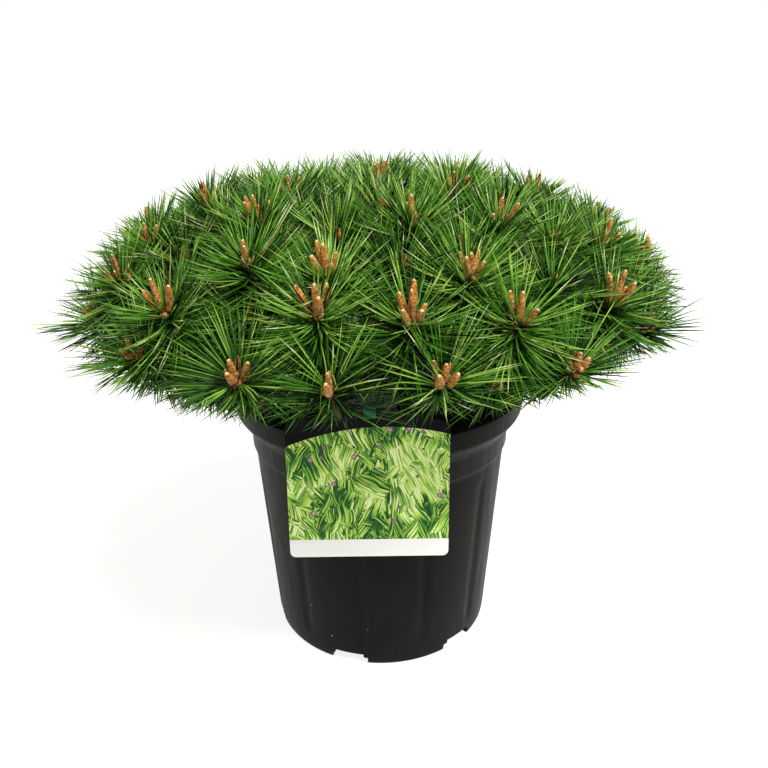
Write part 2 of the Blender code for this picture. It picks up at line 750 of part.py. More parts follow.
def build_bough(name, path, collection, trunk_cutter, material):
    """One bough: a round, tapering tube, trimmed where it would enter the trunk."""
    curve = bpy.data.curves.new(name, "CURVE")
    curve.dimensions = "3D"
    curve.bevel_depth = BOUGH_FOOT_RADIUS
    curve.bevel_resolution = 1
    curve.use_fill_caps = True
    spline = curve.splines.new("POLY")
    spline.points.add(len(path) - 1)
    tip_share = BOUGH_TIP_RADIUS / BOUGH_FOOT_RADIUS
    for index, point in enumerate(path):
        spline.points[index].co = (*point, 1.0)
        spline.points[index].radius = 1.0 + (tip_share - 1.0) * index / (len(path) - 1)
    tube = bpy.data.objects.new(name + "_curve", curve)
    collection.objects.link(tube)
    depsgraph = bpy.context.evaluated_depsgraph_get()
    mesh = bpy.data.meshes.new_from_object(tube.evaluated_get(depsgraph))
    bm = bmesh.new()
    bm.from_mesh(mesh)
    bmesh.ops.remove_doubles(bm, verts=bm.verts, dist=0.00001)
    bmesh.ops.recalc_face_normals(bm, faces=bm.faces)
    bm.to_mesh(mesh)
    bm.free()
    bough = add_object(name, mesh, collection, material)
    bough.matrix_world = tube.matrix_world
    bpy.data.objects.remove(tube)
    cut(bough, trunk_cutter)
    applied(bough)
    shade_round(bough.data)
    return bough


def rod_object(name, rod, collection, sink=0.0):
    """A rod as a tapering prism, run on at both ends by an amount so that rods join well."""
    way = rod.end - rod.start
    length = way.length + 2.0 * sink
    bm = bmesh.new()
    bmesh.ops.create_cone(bm, cap_ends=True, cap_tris=False, segments=rod.sides,
                          radius1=rod.start_radius, radius2=rod.end_radius, depth=length)
    turn = way.to_track_quat("Z", "Y").to_matrix().to_4x4()
    bm.transform(Matrix.Translation(rod.start.lerp(rod.end, 0.5)) @ turn)
    mesh = bpy.data.meshes.new(name)
    bm.to_mesh(mesh)
    bm.free()
    return add_object(name, mesh, collection)


def keep_main_body(mesh):
    """Keep the largest shell of a fused mass; a loose scrap or a sealed hollow is dropped."""
    bm = bmesh.new()
    bm.from_mesh(mesh)
    waiting = set(bm.faces)
    shells = []
    while waiting:
        seed_face = waiting.pop()
        shell = {seed_face}
        edge_of_shell = [seed_face]
        while edge_of_shell:
            face = edge_of_shell.pop()
            for edge in face.edges:
                for neighbour in edge.link_faces:
                    if neighbour in waiting:
                        waiting.remove(neighbour)
                        shell.add(neighbour)
                        edge_of_shell.append(neighbour)
        shells.append(shell)
    shells.sort(key=len, reverse=True)
    scraps = [face for shell in shells[1:] for face in shell]
    bmesh.ops.delete(bm, geom=scraps, context="FACES")
    loose = [vertex for vertex in bm.verts if not vertex.link_faces]
    bmesh.ops.delete(bm, geom=loose, context="VERTS")
    bm.to_mesh(mesh)
    bm.free()


def build_mass(name, crown, collection, material):
    """One mass of foliage: stem, twigs, shoots, needles and candles fused into one body."""
    rng = random.Random("%s %d" % (name, SEED))
    wood = list(crown.wood[name][1:])
    wood += [shoot_rod(shoot) for shoot in crown.masses[name]]
    extras = []
    for shoot in crown.masses[name]:
        for rod in candle_rods(shoot, rng) + needle_rods(shoot, rng):
            if not crosses(rod, extras + wood) and crown.is_clear(rod, name):
                extras.append(rod)
    union = bpy.data.collections.new(name + "_pieces")
    bpy.context.scene.collection.children.link(union)
    for index, rod in enumerate(wood + extras):
        rod_object("%s_%03d" % (name, index), rod, union, 0.4 * rod.end_radius)
    mass = rod_object(name, crown.wood[name][0], collection)
    join = mass.modifiers.new("join", "BOOLEAN")
    join.operation = "UNION"
    join.operand_type = "COLLECTION"
    join.collection = union
    join.solver = "MANIFOLD"
    applied(mass)
    for piece in list(union.objects):
        bpy.data.objects.remove(piece)
    bpy.data.collections.remove(union)
    keep_main_body(mass.data)
    mass.data.materials.clear()
    mass.data.materials.append(material)
    return mass


def main():
    """Build the whole plant in its pot."""
    for piece in list(bpy.data.objects):
        bpy.data.objects.remove(piece)
    parts = bpy.data.collections.new("potted_dwarf_pine")
    cutters = bpy.data.collections.new("cutters")
    bpy.context.scene.collection.children.link(parts)
    bpy.context.scene.collection.children.link(cutters)

    black_plastic = new_material("black_plastic", (0.018, 0.018, 0.017), 0.55)
    potting_soil = new_material("potting_soil", (0.030, 0.022, 0.016), 0.95)
    printed_card = new_material("printed_card", (0.25, 0.42, 0.10), 0.35)
    pine_bark = new_material("pine_bark", (0.16, 0.085, 0.05), 0.85)
    needle_green = new_material("needle_green", (0.07, 0.21, 0.025), 0.50)

    build_pot(parts, cutters, black_plastic)
    build_soil(parts, potting_soil)
    build_card(parts, printed_card)

    trunk = add_object("trunk", trunk_mesh("trunk", 0.0), parts, pine_bark)
    shade_round(trunk.data)
    trunk_cutter = add_object("trunk_room", trunk_mesh("trunk_room", GAP), cutters)
    hide_cutter(trunk_cutter)

    crown = Crown()
    for name, path in crown.boughs.items():
        build_bough(name, path, parts, trunk_cutter, pine_bark)
    for name in crown.masses:
        build_mass(name, crown, parts, needle_green)


main()
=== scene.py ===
"""Looks of a low, spreading dwarf pine in a round nursery pot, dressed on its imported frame.

Metres, +Z up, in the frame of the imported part: the origin is the centre of the pot's flat
underside, and the side that carries the label card faces -Y. A heading is an angle round the
pot's axis in degrees: 0 looks along -Y and 90 along +X.
"""
import logging
import math
import random
from dataclasses import dataclass, field
from enum import Enum

import bmesh
import bpy
import numpy as np
from mathutils import Matrix, Vector, noise


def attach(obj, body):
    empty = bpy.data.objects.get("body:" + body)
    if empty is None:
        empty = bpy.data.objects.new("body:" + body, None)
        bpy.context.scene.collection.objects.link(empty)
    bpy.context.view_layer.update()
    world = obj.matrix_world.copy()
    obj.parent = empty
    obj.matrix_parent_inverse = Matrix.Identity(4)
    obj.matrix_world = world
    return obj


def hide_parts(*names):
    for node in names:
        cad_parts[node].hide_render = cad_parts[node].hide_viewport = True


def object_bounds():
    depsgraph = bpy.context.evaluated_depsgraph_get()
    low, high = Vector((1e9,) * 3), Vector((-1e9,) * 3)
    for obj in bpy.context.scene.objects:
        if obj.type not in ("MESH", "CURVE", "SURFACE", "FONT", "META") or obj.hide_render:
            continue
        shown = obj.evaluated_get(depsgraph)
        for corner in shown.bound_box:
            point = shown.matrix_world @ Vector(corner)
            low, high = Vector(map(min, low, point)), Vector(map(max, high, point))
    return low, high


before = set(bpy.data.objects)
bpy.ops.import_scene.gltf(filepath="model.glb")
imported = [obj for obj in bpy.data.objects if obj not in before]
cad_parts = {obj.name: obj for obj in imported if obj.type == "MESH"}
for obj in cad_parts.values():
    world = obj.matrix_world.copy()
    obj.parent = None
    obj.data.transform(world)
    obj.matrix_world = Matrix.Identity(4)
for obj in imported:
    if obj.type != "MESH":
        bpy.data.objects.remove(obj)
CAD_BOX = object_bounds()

log = logging.getLogger("potted_dwarf_pine")

MILLIMETRE = 0.001
UP = Vector((0.0, 0.0, 1.0))
GOLDEN_ANGLE = math.radians(137.508)
GAP = 0.0003
BODY = "root"

# Sizes that more than one sub-assembly uses
POT_HEIGHT = 0.254
RIM_RADIUS = 0.140
SOIL_MIDDLE_Z = 0.231
SOIL_EDGE_Z = 0.2265


class Slot(Enum):
    """The material slots of the record."""

    POT = "pot_plastic"
    SOIL = "potting_soil"
    PRINT = "label_print"
    BARK = "bark"
    NEEDLES = "needles"
    CANDLES = "candles"


class NeedleTone(Enum):
    """The plain colours that needles are dealt, from the darkest to the palest, then the dull ones."""

    NIGHT = 0
    DEEP = 1
    MID = 2
    FRESH = 3
    LIME = 4
    PALE = 5
    GREYED = 6
    STRAW = 7


class CandleTone(Enum):
    """The plain colours of a candle's parts."""

    SCALE = 0
    SCALE_EDGE = 1
    SCALE_DARK = 2
    TIP = 3
    FOOT = 4


# ---------------------------------------------------------------------------------------------
# Nodes and finishes
# ---------------------------------------------------------------------------------------------


def linear(hex_colour: str) -> tuple[float, float, float, float]:
    """Turn an sRGB hex colour into the linear colour that a shader takes.

    Args:
        hex_colour: The colour as "#rrggbb".

    Returns:
        Linear red, green, blue and an alpha of one.
    """
    channels = []
    for start in (1, 3, 5):
        value = int(hex_colour[start:start + 2], 16) / 255.0
        channels.append(value / 12.92 if value <= 0.04045 else ((value + 0.055) / 1.055) ** 2.4)
    return (channels[0], channels[1], channels[2], 1.0)


def add_node(tree: bpy.types.NodeTree, kind: str, settings: dict | None = None,
             links: dict | None = None) -> bpy.types.Node:
    """Add one node to a tree with its settings and its links.

    Args:
        tree: The node tree.
        kind: The node's type.
        settings: Values by input name or number, or by property name. "stops" fills a ramp
            with (position, hex colour) pairs.
        links: Output sockets by the name or number of the input they feed.

    Returns:
        The new node.
    """
    node = tree.nodes.new(kind)
    for key, value in (settings or {}).items():
        if key == "stops":
            elements = node.color_ramp.elements
            while len(elements) < len(value):
                elements.new(1.0)
            for element, (position, colour) in zip(elements, value):
                element.position = position
                element.color = linear(colour)
        elif isinstance(key, int) or key in node.inputs:
            node.inputs[key].default_value = value
        else:
            setattr(node, key, value)
    for key, socket in (links or {}).items():
        tree.links.new(socket, node.inputs[key])
    return node


def per_metre(size_mm: float) -> float:
    """The pattern scale at which one cell is a given number of millimetres across."""
    return 1.0 / (size_mm * MILLIMETRE)


def new_material(name: str, settings: dict) -> tuple[bpy.types.Material, bpy.types.Node]:
    """Start a material with the settings of its Principled shader.

    Args:
        name: The material's name.
        settings: Values by input name.

    Returns:
        The material and its shader node.
    """
    material = bpy.data.materials.new(name)
    material.use_nodes = True
    shader = material.node_tree.nodes["Principled BSDF"]
    for key, value in settings.items():
        shader.inputs[key].default_value = value
    return material, shader


@dataclass(frozen=True)
class MouldedPolypropylene:
    """Black recycled polypropylene, injection moulded.

    Near black with a dull sheen that greys towards the edges. Handling leaves faint upright
    rub marks and a film of dust, and the mould leaves a fine grain.
    """

    name: str = "moulded_black_polypropylene"
    dark: str = "#090908"
    rubbed: str = "#11110f"
    dust: str = "#211f1b"
    ior: float = 1.49
    specular: float = 0.08
    grain_mm: float = 0.7
    rub_mm: float = 5.0
    cloud_mm: float = 55.0

    def build(self) -> bpy.types.Material:
        """Make the material."""
        material, shader = new_material(self.name, {"IOR": self.ior, "Roughness": 0.46,
                                                    "Specular IOR Level": self.specular})
        tree = material.node_tree
        place = add_node(tree, "ShaderNodeTexCoord").outputs["Object"]
        upright = add_node(tree, "ShaderNodeMapping", {"Scale": (1.0, 1.0, 0.06)}, {"Vector": place})
        rubs = add_node(tree, "ShaderNodeTexNoise", {"Scale": per_metre(self.rub_mm), "Detail": 5.0},
                        {"Vector": upright.outputs[0]})
        clouds = add_node(tree, "ShaderNodeTexNoise", {"Scale": per_metre(self.cloud_mm), "Detail": 3.0},
                          {"Vector": place})
        rub_ramp = add_node(tree, "ShaderNodeValToRGB",
                            {"stops": ((0.35, self.dark), (0.72, self.rubbed))}, {"Fac": rubs.outputs[0]})
        dust_mask = add_node(tree, "ShaderNodeMapRange",
                             {"From Min": 0.45, "From Max": 0.85, "To Min": 0.0, "To Max": 0.35},
                             {"Value": clouds.outputs[0]})
        dusty = add_node(tree, "ShaderNodeMix", {"data_type": "RGBA", 7: linear(self.dust)},
                         {0: dust_mask.outputs[0], 6: rub_ramp.outputs[0]})
        specks = add_node(tree, "ShaderNodeTexVoronoi", {"Scale": per_metre(24.0)}, {"Vector": place})
        speck_mask = add_node(tree, "ShaderNodeMapRange",
                              {"From Min": 0.035, "From Max": 0.025, "To Min": 0.0, "To Max": 0.8},
                              {"Value": specks.outputs["Distance"]})
        specked = add_node(tree, "ShaderNodeMix", {"data_type": "RGBA", 7: linear("#a8a49a")},
                           {0: speck_mask.outputs[0], 6: dusty.outputs[2]})
        rough = add_node(tree, "ShaderNodeMapRange",
                         {"From Min": 0.3, "From Max": 0.8, "To Min": 0.38, "To Max": 0.58},
                         {"Value": rubs.outputs[0]})
        grain = add_node(tree, "ShaderNodeTexNoise", {"Scale": per_metre(self.grain_mm), "Detail": 2.0},
                         {"Vector": place})
        bump = add_node(tree, "ShaderNodeBump", {"Strength": 0.25, "Distance": 0.0002},
                        {"Height": grain.outputs[0]})
        tree.links.new(specked.outputs[2], shader.inputs["Base Color"])
        tree.links.new(rough.outputs[0], shader.inputs["Roughness"])
        tree.links.new(bump.outputs[0], shader.inputs["Normal"])
        return material


@dataclass(frozen=True)
class PeatMix:
    """Peat and composted bark, loose filled: dark brown crumbs that drink the light."""

    name: str = "peat_potting_mix"
    wet: str = "#120c08"
    dry: str = "#3a2a1d"
    ior: float = 1.4
    crumb_mm: float = 3.0

    def build(self) -> bpy.types.Material:
        """Make the material."""
        material, shader = new_material(self.name, {"IOR": self.ior, "Roughness": 0.95})
        tree = material.node_tree
        place = add_node(tree, "ShaderNodeTexCoord").outputs["Object"]
        crumbs = add_node(tree, "ShaderNodeTexNoise", {"Scale": per_metre(self.crumb_mm), "Detail": 8.0},
                          {"Vector": place})
        colour = add_node(tree, "ShaderNodeValToRGB", {"stops": ((0.35, self.wet), (0.70, self.dry))},
                          {"Fac": crumbs.outputs[0]})
        bump = add_node(tree, "ShaderNodeBump", {"Strength": 0.9, "Distance": 0.0012},
                        {"Height": crumbs.outputs[0]})
        tree.links.new(colour.outputs[0], shader.inputs["Base Color"])
        tree.links.new(bump.outputs[0], shader.inputs["Normal"])
        return material


@dataclass(frozen=True)
class LaminatedPrint:
    """Printed card under a clear gloss film.

    The picture's place holds a plain pattern of strap leaves and round berries; the strip below
    it is bare white, the card above it is printed black. The film gives a soft shine.
    """

    name: str = "gloss_laminated_print"
    ior: float = 1.5
    blade_width_mm: float = 1.0
    blade_length_mm: float = 15.0
    berry_spacing_mm: float = 13.0
    strip_top: float = 0.168
    picture_top: float = 0.268
    patch_low: float = 0.275
    patch_high: float = 0.291
    patch_left: float = -0.013
    patch_right: float = -0.003
    arc_middle_x: float = 0.004
    arc_bend: float = 2.5
    greens: tuple = ((0.05, "#245228"), (0.20, "#589637"), (0.40, "#94c34c"), (0.62, "#c3e25f"),
                     (0.85, "#e6f6ab"))

    def blades(self, tree: bpy.types.NodeTree, place: bpy.types.NodeSocket, turn_deg: float,
               wander: bpy.types.NodeSocket) -> bpy.types.NodeSocket:
        """One layer of strap leaves that lean one way, each in its own green.

        Args:
            tree: The node tree.
            place: The surface's place.
            turn_deg: How far the leaves lean.
            wander: A smooth colour that bends them.

        Returns:
            The colour output.
        """
        bent = add_node(tree, "ShaderNodeVectorMath", {"operation": "MULTIPLY_ADD", 1: (0.012, 0.0, 0.012)},
                        {0: wander, 2: place})
        lean = add_node(tree, "ShaderNodeMapping", {"Rotation": (0.0, math.radians(turn_deg), 0.0)},
                        {"Vector": bent.outputs[0]})
        stretch = add_node(tree, "ShaderNodeMapping",
                           {"Scale": (per_metre(self.blade_width_mm), 0.0, per_metre(self.blade_length_mm))},
                           {"Vector": lean.outputs[0]})
        cells = add_node(tree, "ShaderNodeTexVoronoi", {"Scale": 1.0}, {"Vector": stretch.outputs[0]})
        pick = add_node(tree, "ShaderNodeSeparateColor", {}, {"Color": cells.outputs["Color"]})
        drift = add_node(tree, "ShaderNodeSeparateColor", {}, {"Color": wander})
        depth = add_node(tree, "ShaderNodeMapRange",
                         {"From Min": 0.35, "From Max": 0.65, "To Min": -0.30, "To Max": 0.35},
                         {"Value": drift.outputs[2]})
        tuft = add_node(tree, "ShaderNodeMath", {"operation": "ADD"},
                        {0: pick.outputs[0], 1: depth.outputs[0]})
        shade = add_node(tree, "ShaderNodeMath", {"operation": "MULTIPLY_ADD", 1: -0.35},
                         {0: cells.outputs["Distance"], 2: tuft.outputs[0]})
        ramp = add_node(tree, "ShaderNodeValToRGB", {"stops": self.greens}, {"Fac": shade.outputs[0]})
        return ramp.outputs[0]

    def build(self) -> bpy.types.Material:
        """Make the material."""
        material, shader = new_material(self.name, {"IOR": self.ior, "Roughness": 0.30,
                                                    "Specular IOR Level": 0.06,
                                                    "Coat Weight": 0.02, "Coat Roughness": 0.12})
        tree = material.node_tree
        place = add_node(tree, "ShaderNodeTexCoord").outputs["Object"]
        wander = add_node(tree, "ShaderNodeTexNoise", {"Scale": per_metre(30.0), "Detail": 1.0},
                          {"Vector": place})
        leaves_colour = self.blades(tree, place, 4.0, wander.outputs["Color"])
        for turn_deg, patch_mm, low in ((27.0, 26.0, 0.48), (-24.0, 21.0, 0.52), (58.0, 23.0, 0.57)):
            layer = self.blades(tree, place, turn_deg, wander.outputs["Color"])
            patches = add_node(tree, "ShaderNodeTexNoise",
                               {"Scale": per_metre(patch_mm), "Detail": 3.0, "Distortion": turn_deg * 0.02},
                               {"Vector": place})
            which = add_node(tree, "ShaderNodeMapRange", {"From Min": low, "From Max": low + 0.02},
                             {"Value": patches.outputs[0]})
            leaves = add_node(tree, "ShaderNodeMix", {"data_type": "RGBA"},
                              {0: which.outputs[0], 6: leaves_colour, 7: layer})
            leaves_colour = leaves.outputs[2]
        flat = add_node(tree, "ShaderNodeMapping", {"Scale": (1.0, 0.0, 1.0)}, {"Vector": place})
        berries = add_node(tree, "ShaderNodeTexVoronoi", {"Scale": per_metre(self.berry_spacing_mm)},
                           {"Vector": flat.outputs[0]})
        round_mask = add_node(tree, "ShaderNodeMapRange", {"From Min": 0.20, "From Max": 0.16},
                              {"Value": berries.outputs["Distance"]})
        chance = add_node(tree, "ShaderNodeSeparateColor", {}, {"Color": berries.outputs["Color"]})
        chosen = add_node(tree, "ShaderNodeMath", {"operation": "GREATER_THAN", 1: 0.55}, {0: chance.outputs[1]})
        berry_mask = add_node(tree, "ShaderNodeMath", {"operation": "MULTIPLY"},
                              {0: round_mask.outputs[0], 1: chosen.outputs[0]})
        berry_tone = add_node(tree, "ShaderNodeValToRGB",
                              {"stops": ((0.0, "#e8cfdc"), (0.10, "#b57fa2"), (0.2, "#5b3358"))},
                              {"Fac": berries.outputs["Distance"]})
        picture = add_node(tree, "ShaderNodeMix", {"data_type": "RGBA"},
                           {0: berry_mask.outputs[0], 6: leaves_colour, 7: berry_tone.outputs[0]})
        axes = add_node(tree, "ShaderNodeSeparateXYZ", {}, {"Vector": place})
        across, height = axes.outputs[0], axes.outputs[2]
        centred = add_node(tree, "ShaderNodeMath", {"operation": "SUBTRACT", 1: self.arc_middle_x}, {0: across})
        squared = add_node(tree, "ShaderNodeMath", {"operation": "POWER", 1: 2.0}, {0: centred.outputs[0]})
        bow = add_node(tree, "ShaderNodeMath",
                       {"operation": "MULTIPLY_ADD", 1: self.arc_bend, 2: -self.picture_top},
                       {0: squared.outputs[0]})
        over = add_node(tree, "ShaderNodeMath", {"operation": "ADD"}, {0: bow.outputs[0], 1: height})
        above = add_node(tree, "ShaderNodeMath", {"operation": "GREATER_THAN", 1: 0.0}, {0: over.outputs[0]})
        topped = add_node(tree, "ShaderNodeMix", {"data_type": "RGBA", 7: linear("#040404")},
                          {0: above.outputs[0], 6: picture.outputs[2]})
        below = add_node(tree, "ShaderNodeMath", {"operation": "LESS_THAN", 1: self.strip_top}, {0: height})
        strip = add_node(tree, "ShaderNodeMix", {"data_type": "RGBA", 7: linear("#f1f0ea")},
                         {0: below.outputs[0], 6: topped.outputs[2]})
        patch = None
        for socket, low, high in ((across, self.patch_left, self.patch_right),
                                  (height, self.patch_low, self.patch_high)):
            inside = add_node(tree, "ShaderNodeMath",
                              {"operation": "COMPARE", 1: 0.5 * (low + high), 2: 0.5 * (high - low)}, {0: socket})
            if patch is None:
                patch = inside
            else:
                patch = add_node(tree, "ShaderNodeMath", {"operation": "MULTIPLY"},
                                 {0: patch.outputs[0], 1: inside.outputs[0]})
        patched = add_node(tree, "ShaderNodeMix", {"data_type": "RGBA", 7: linear("#137040")},
                           {0: patch.outputs[0], 6: strip.outputs[2]})
        scratches = add_node(tree, "ShaderNodeTexNoise", {"Scale": per_metre(9.0), "Detail": 4.0},
                             {"Vector": place})
        rough = add_node(tree, "ShaderNodeMapRange", {"To Min": 0.22, "To Max": 0.42},
                         {"Value": scratches.outputs[0]})
        tree.links.new(patched.outputs[2], shader.inputs["Base Color"])
        tree.links.new(rough.outputs[0], shader.inputs["Roughness"])
        return material


@dataclass(frozen=True)
class CardStock:
    """The unprinted back and edges of the card: black stock with a fine paper tooth."""

    name: str = "black_card_stock"
    colour: str = "#121211"
    ior: float = 1.5
    tooth_mm: float = 0.5

    def build(self) -> bpy.types.Material:
        """Make the material."""
        material, shader = new_material(self.name, {"IOR": self.ior, "Roughness": 0.6,
                                                    "Base Color": linear(self.colour)})
        tree = material.node_tree
        place = add_node(tree, "ShaderNodeTexCoord").outputs["Object"]
        tooth = add_node(tree, "ShaderNodeTexNoise", {"Scale": per_metre(self.tooth_mm)}, {"Vector": place})
        bump = add_node(tree, "ShaderNodeBump", {"Strength": 0.3, "Distance": 0.0001},
                        {"Height": tooth.outputs[0]})
        tree.links.new(bump.outputs[0], shader.inputs["Normal"])
        return material


@dataclass(frozen=True)
class PlatedBark:
    """Young pine bark, weathered: grey-brown plates with rust in the cracks between them."""

    name: str = "weathered_pine_bark"
    plate: str = "#6a5342"
    pale: str = "#8b7662"
    crack: str = "#3a1f12"
    ior: float = 1.45
    plate_mm: float = 4.0

    def build(self) -> bpy.types.Material:
        """Make the material."""
        material, shader = new_material(self.name, {"IOR": self.ior, "Roughness": 0.88})
        tree = material.node_tree
        place = add_node(tree, "ShaderNodeTexCoord").outputs["Object"]
        long_ways = add_node(tree, "ShaderNodeMapping", {"Scale": (1.0, 1.0, 0.55)}, {"Vector": place})
        plates = add_node(tree, "ShaderNodeTexVoronoi",
                          {"Scale": per_metre(self.plate_mm), "feature": "DISTANCE_TO_EDGE"},
                          {"Vector": long_ways.outputs[0]})
        flecks = add_node(tree, "ShaderNodeTexNoise", {"Scale": per_metre(1.6), "Detail": 6.0},
                          {"Vector": place})
        tone = add_node(tree, "ShaderNodeValToRGB", {"stops": ((0.35, self.plate), (0.65, self.pale))},
                        {"Fac": flecks.outputs[0]})
        cracks = add_node(tree, "ShaderNodeMapRange", {"From Min": 0.10, "From Max": 0.02},
                          {"Value": plates.outputs["Distance"]})
        colour = add_node(tree, "ShaderNodeMix", {"data_type": "RGBA", 7: linear(self.crack)},
                          {0: cracks.outputs[0], 6: tone.outputs[0]})
        height = add_node(tree, "ShaderNodeMath", {"operation": "MULTIPLY_ADD", 1: 0.4},
                          {0: flecks.outputs[0], 2: plates.outputs["Distance"]})
        bump = add_node(tree, "ShaderNodeBump", {"Strength": 0.8, "Distance": 0.0008},
                        {"Height": height.outputs[0]})
        tree.links.new(colour.outputs[2], shader.inputs["Base Color"])
        tree.links.new(bump.outputs[0], shader.inputs["Normal"])
        return material


@dataclass(frozen=True)
class LivingSkin:
    """Waxy or papery plant skin, grown, in one plain colour.

    The colour is plain because it is dealt out by spray. A fine lengthwise grain breaks up the
    highlight, so that needles glint along part of their length only.
    """

    name: str
    colour: str
    roughness: float
    ior: float = 1.45
    sheen: float = 0.0
    specular: float = 0.20
    grain_mm: float = 0.8
    swing: float = 0.10
    bump: float = 0.0

    def build(self) -> bpy.types.Material:
        """Make the material."""
        material, shader = new_material(self.name, {"Base Color": linear(self.colour), "IOR": self.ior,
                                                    "Roughness": self.roughness,
                                                    "Specular IOR Level": self.specular,
                                                    "Sheen Weight": self.sheen})
        tree = material.node_tree
        place = add_node(tree, "ShaderNodeTexCoord").outputs["Object"]
        grain = add_node(tree, "ShaderNodeTexNoise", {"Scale": per_metre(self.grain_mm), "Detail": 2.0},
                         {"Vector": place})
        rough = add_node(tree, "ShaderNodeMapRange",
                         {"To Min": self.roughness - self.swing, "To Max": self.roughness + self.swing},
                         {"Value": grain.outputs[0]})
        tree.links.new(rough.outputs[0], shader.inputs["Roughness"])
        if self.bump > 0.0:
            relief = add_node(tree, "ShaderNodeBump", {"Strength": self.bump, "Distance": 0.0003},
                              {"Height": grain.outputs[0]})
            tree.links.new(relief.outputs[0], shader.inputs["Normal"])
        return material


@dataclass(frozen=True)
class OpalAcrylic:
    """Opal acrylic sheet, cast, lit softly from beneath: an even white that swallows shadows."""

    name: str = "opal_acrylic_sheet"
    colour: str = "#9a9a98"
    light: str = "#fdfdfb"
    glow: float = 0.86
    grain_mm: float = 2.0

    def build(self) -> bpy.types.Material:
        """Make the material."""
        material, shader = new_material(self.name, {"Base Color": linear(self.colour), "Roughness": 0.9,
                                                    "Specular IOR Level": 0.2,
                                                    "Emission Color": linear(self.light),
                                                    "Emission Strength": self.glow})
        tree = material.node_tree
        place = add_node(tree, "ShaderNodeTexCoord").outputs["Object"]
        grain = add_node(tree, "ShaderNodeTexNoise", {"Scale": per_metre(self.grain_mm)}, {"Vector": place})
        bump = add_node(tree, "ShaderNodeBump", {"Strength": 0.03, "Distance": 0.0002},
                        {"Height": grain.outputs[0]})
        tree.links.new(bump.outputs[0], shader.inputs["Normal"])
        return material


# ---------------------------------------------------------------------------------------------
# Mesh making
# ---------------------------------------------------------------------------------------------


def heading_vector(heading: float, elevation: float = 0.0) -> Vector:
    """The unit vector at a heading and an elevation, both in degrees."""
    turn = math.radians(heading)
    lift = math.radians(elevation)
    return Vector((math.sin(turn) * math.cos(lift), -math.cos(turn) * math.cos(lift), math.sin(lift)))


def normalised(vectors: np.ndarray) -> np.ndarray:
    """Scale vectors along the last axis to unit length."""
    lengths = np.linalg.norm(vectors, axis=-1, keepdims=True)
    return vectors / np.maximum(lengths, 1e-12)


def wrap_object(name: str, mesh: bpy.types.Mesh, materials: list) -> bpy.types.Object:
    """Make an object for a mesh, with its materials, in the scene.

    Args:
        name: The piece's name.
        mesh: Its mesh.
        materials: Its materials, in slot order.

    Returns:
        The object.
    """
    mesh.name = name
    for material in materials:
        mesh.materials.append(material)
    piece = bpy.data.objects.new(name, mesh)
    bpy.context.scene.collection.objects.link(piece)
    return piece


def dress(piece: bpy.types.Object, nodes: list[str]) -> bpy.types.Object:
    """Put a finished piece on its body, in place of its nodes.

    Args:
        piece: The piece.
        nodes: The nodes that it stands for.

    Returns:
        The piece.
    """
    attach(piece, BODY)
    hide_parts(*nodes)
    piece.data.calc_loop_triangles()
    log.info("%s: %d triangles for %s", piece.name, len(piece.data.loop_triangles), ", ".join(nodes))
    return piece


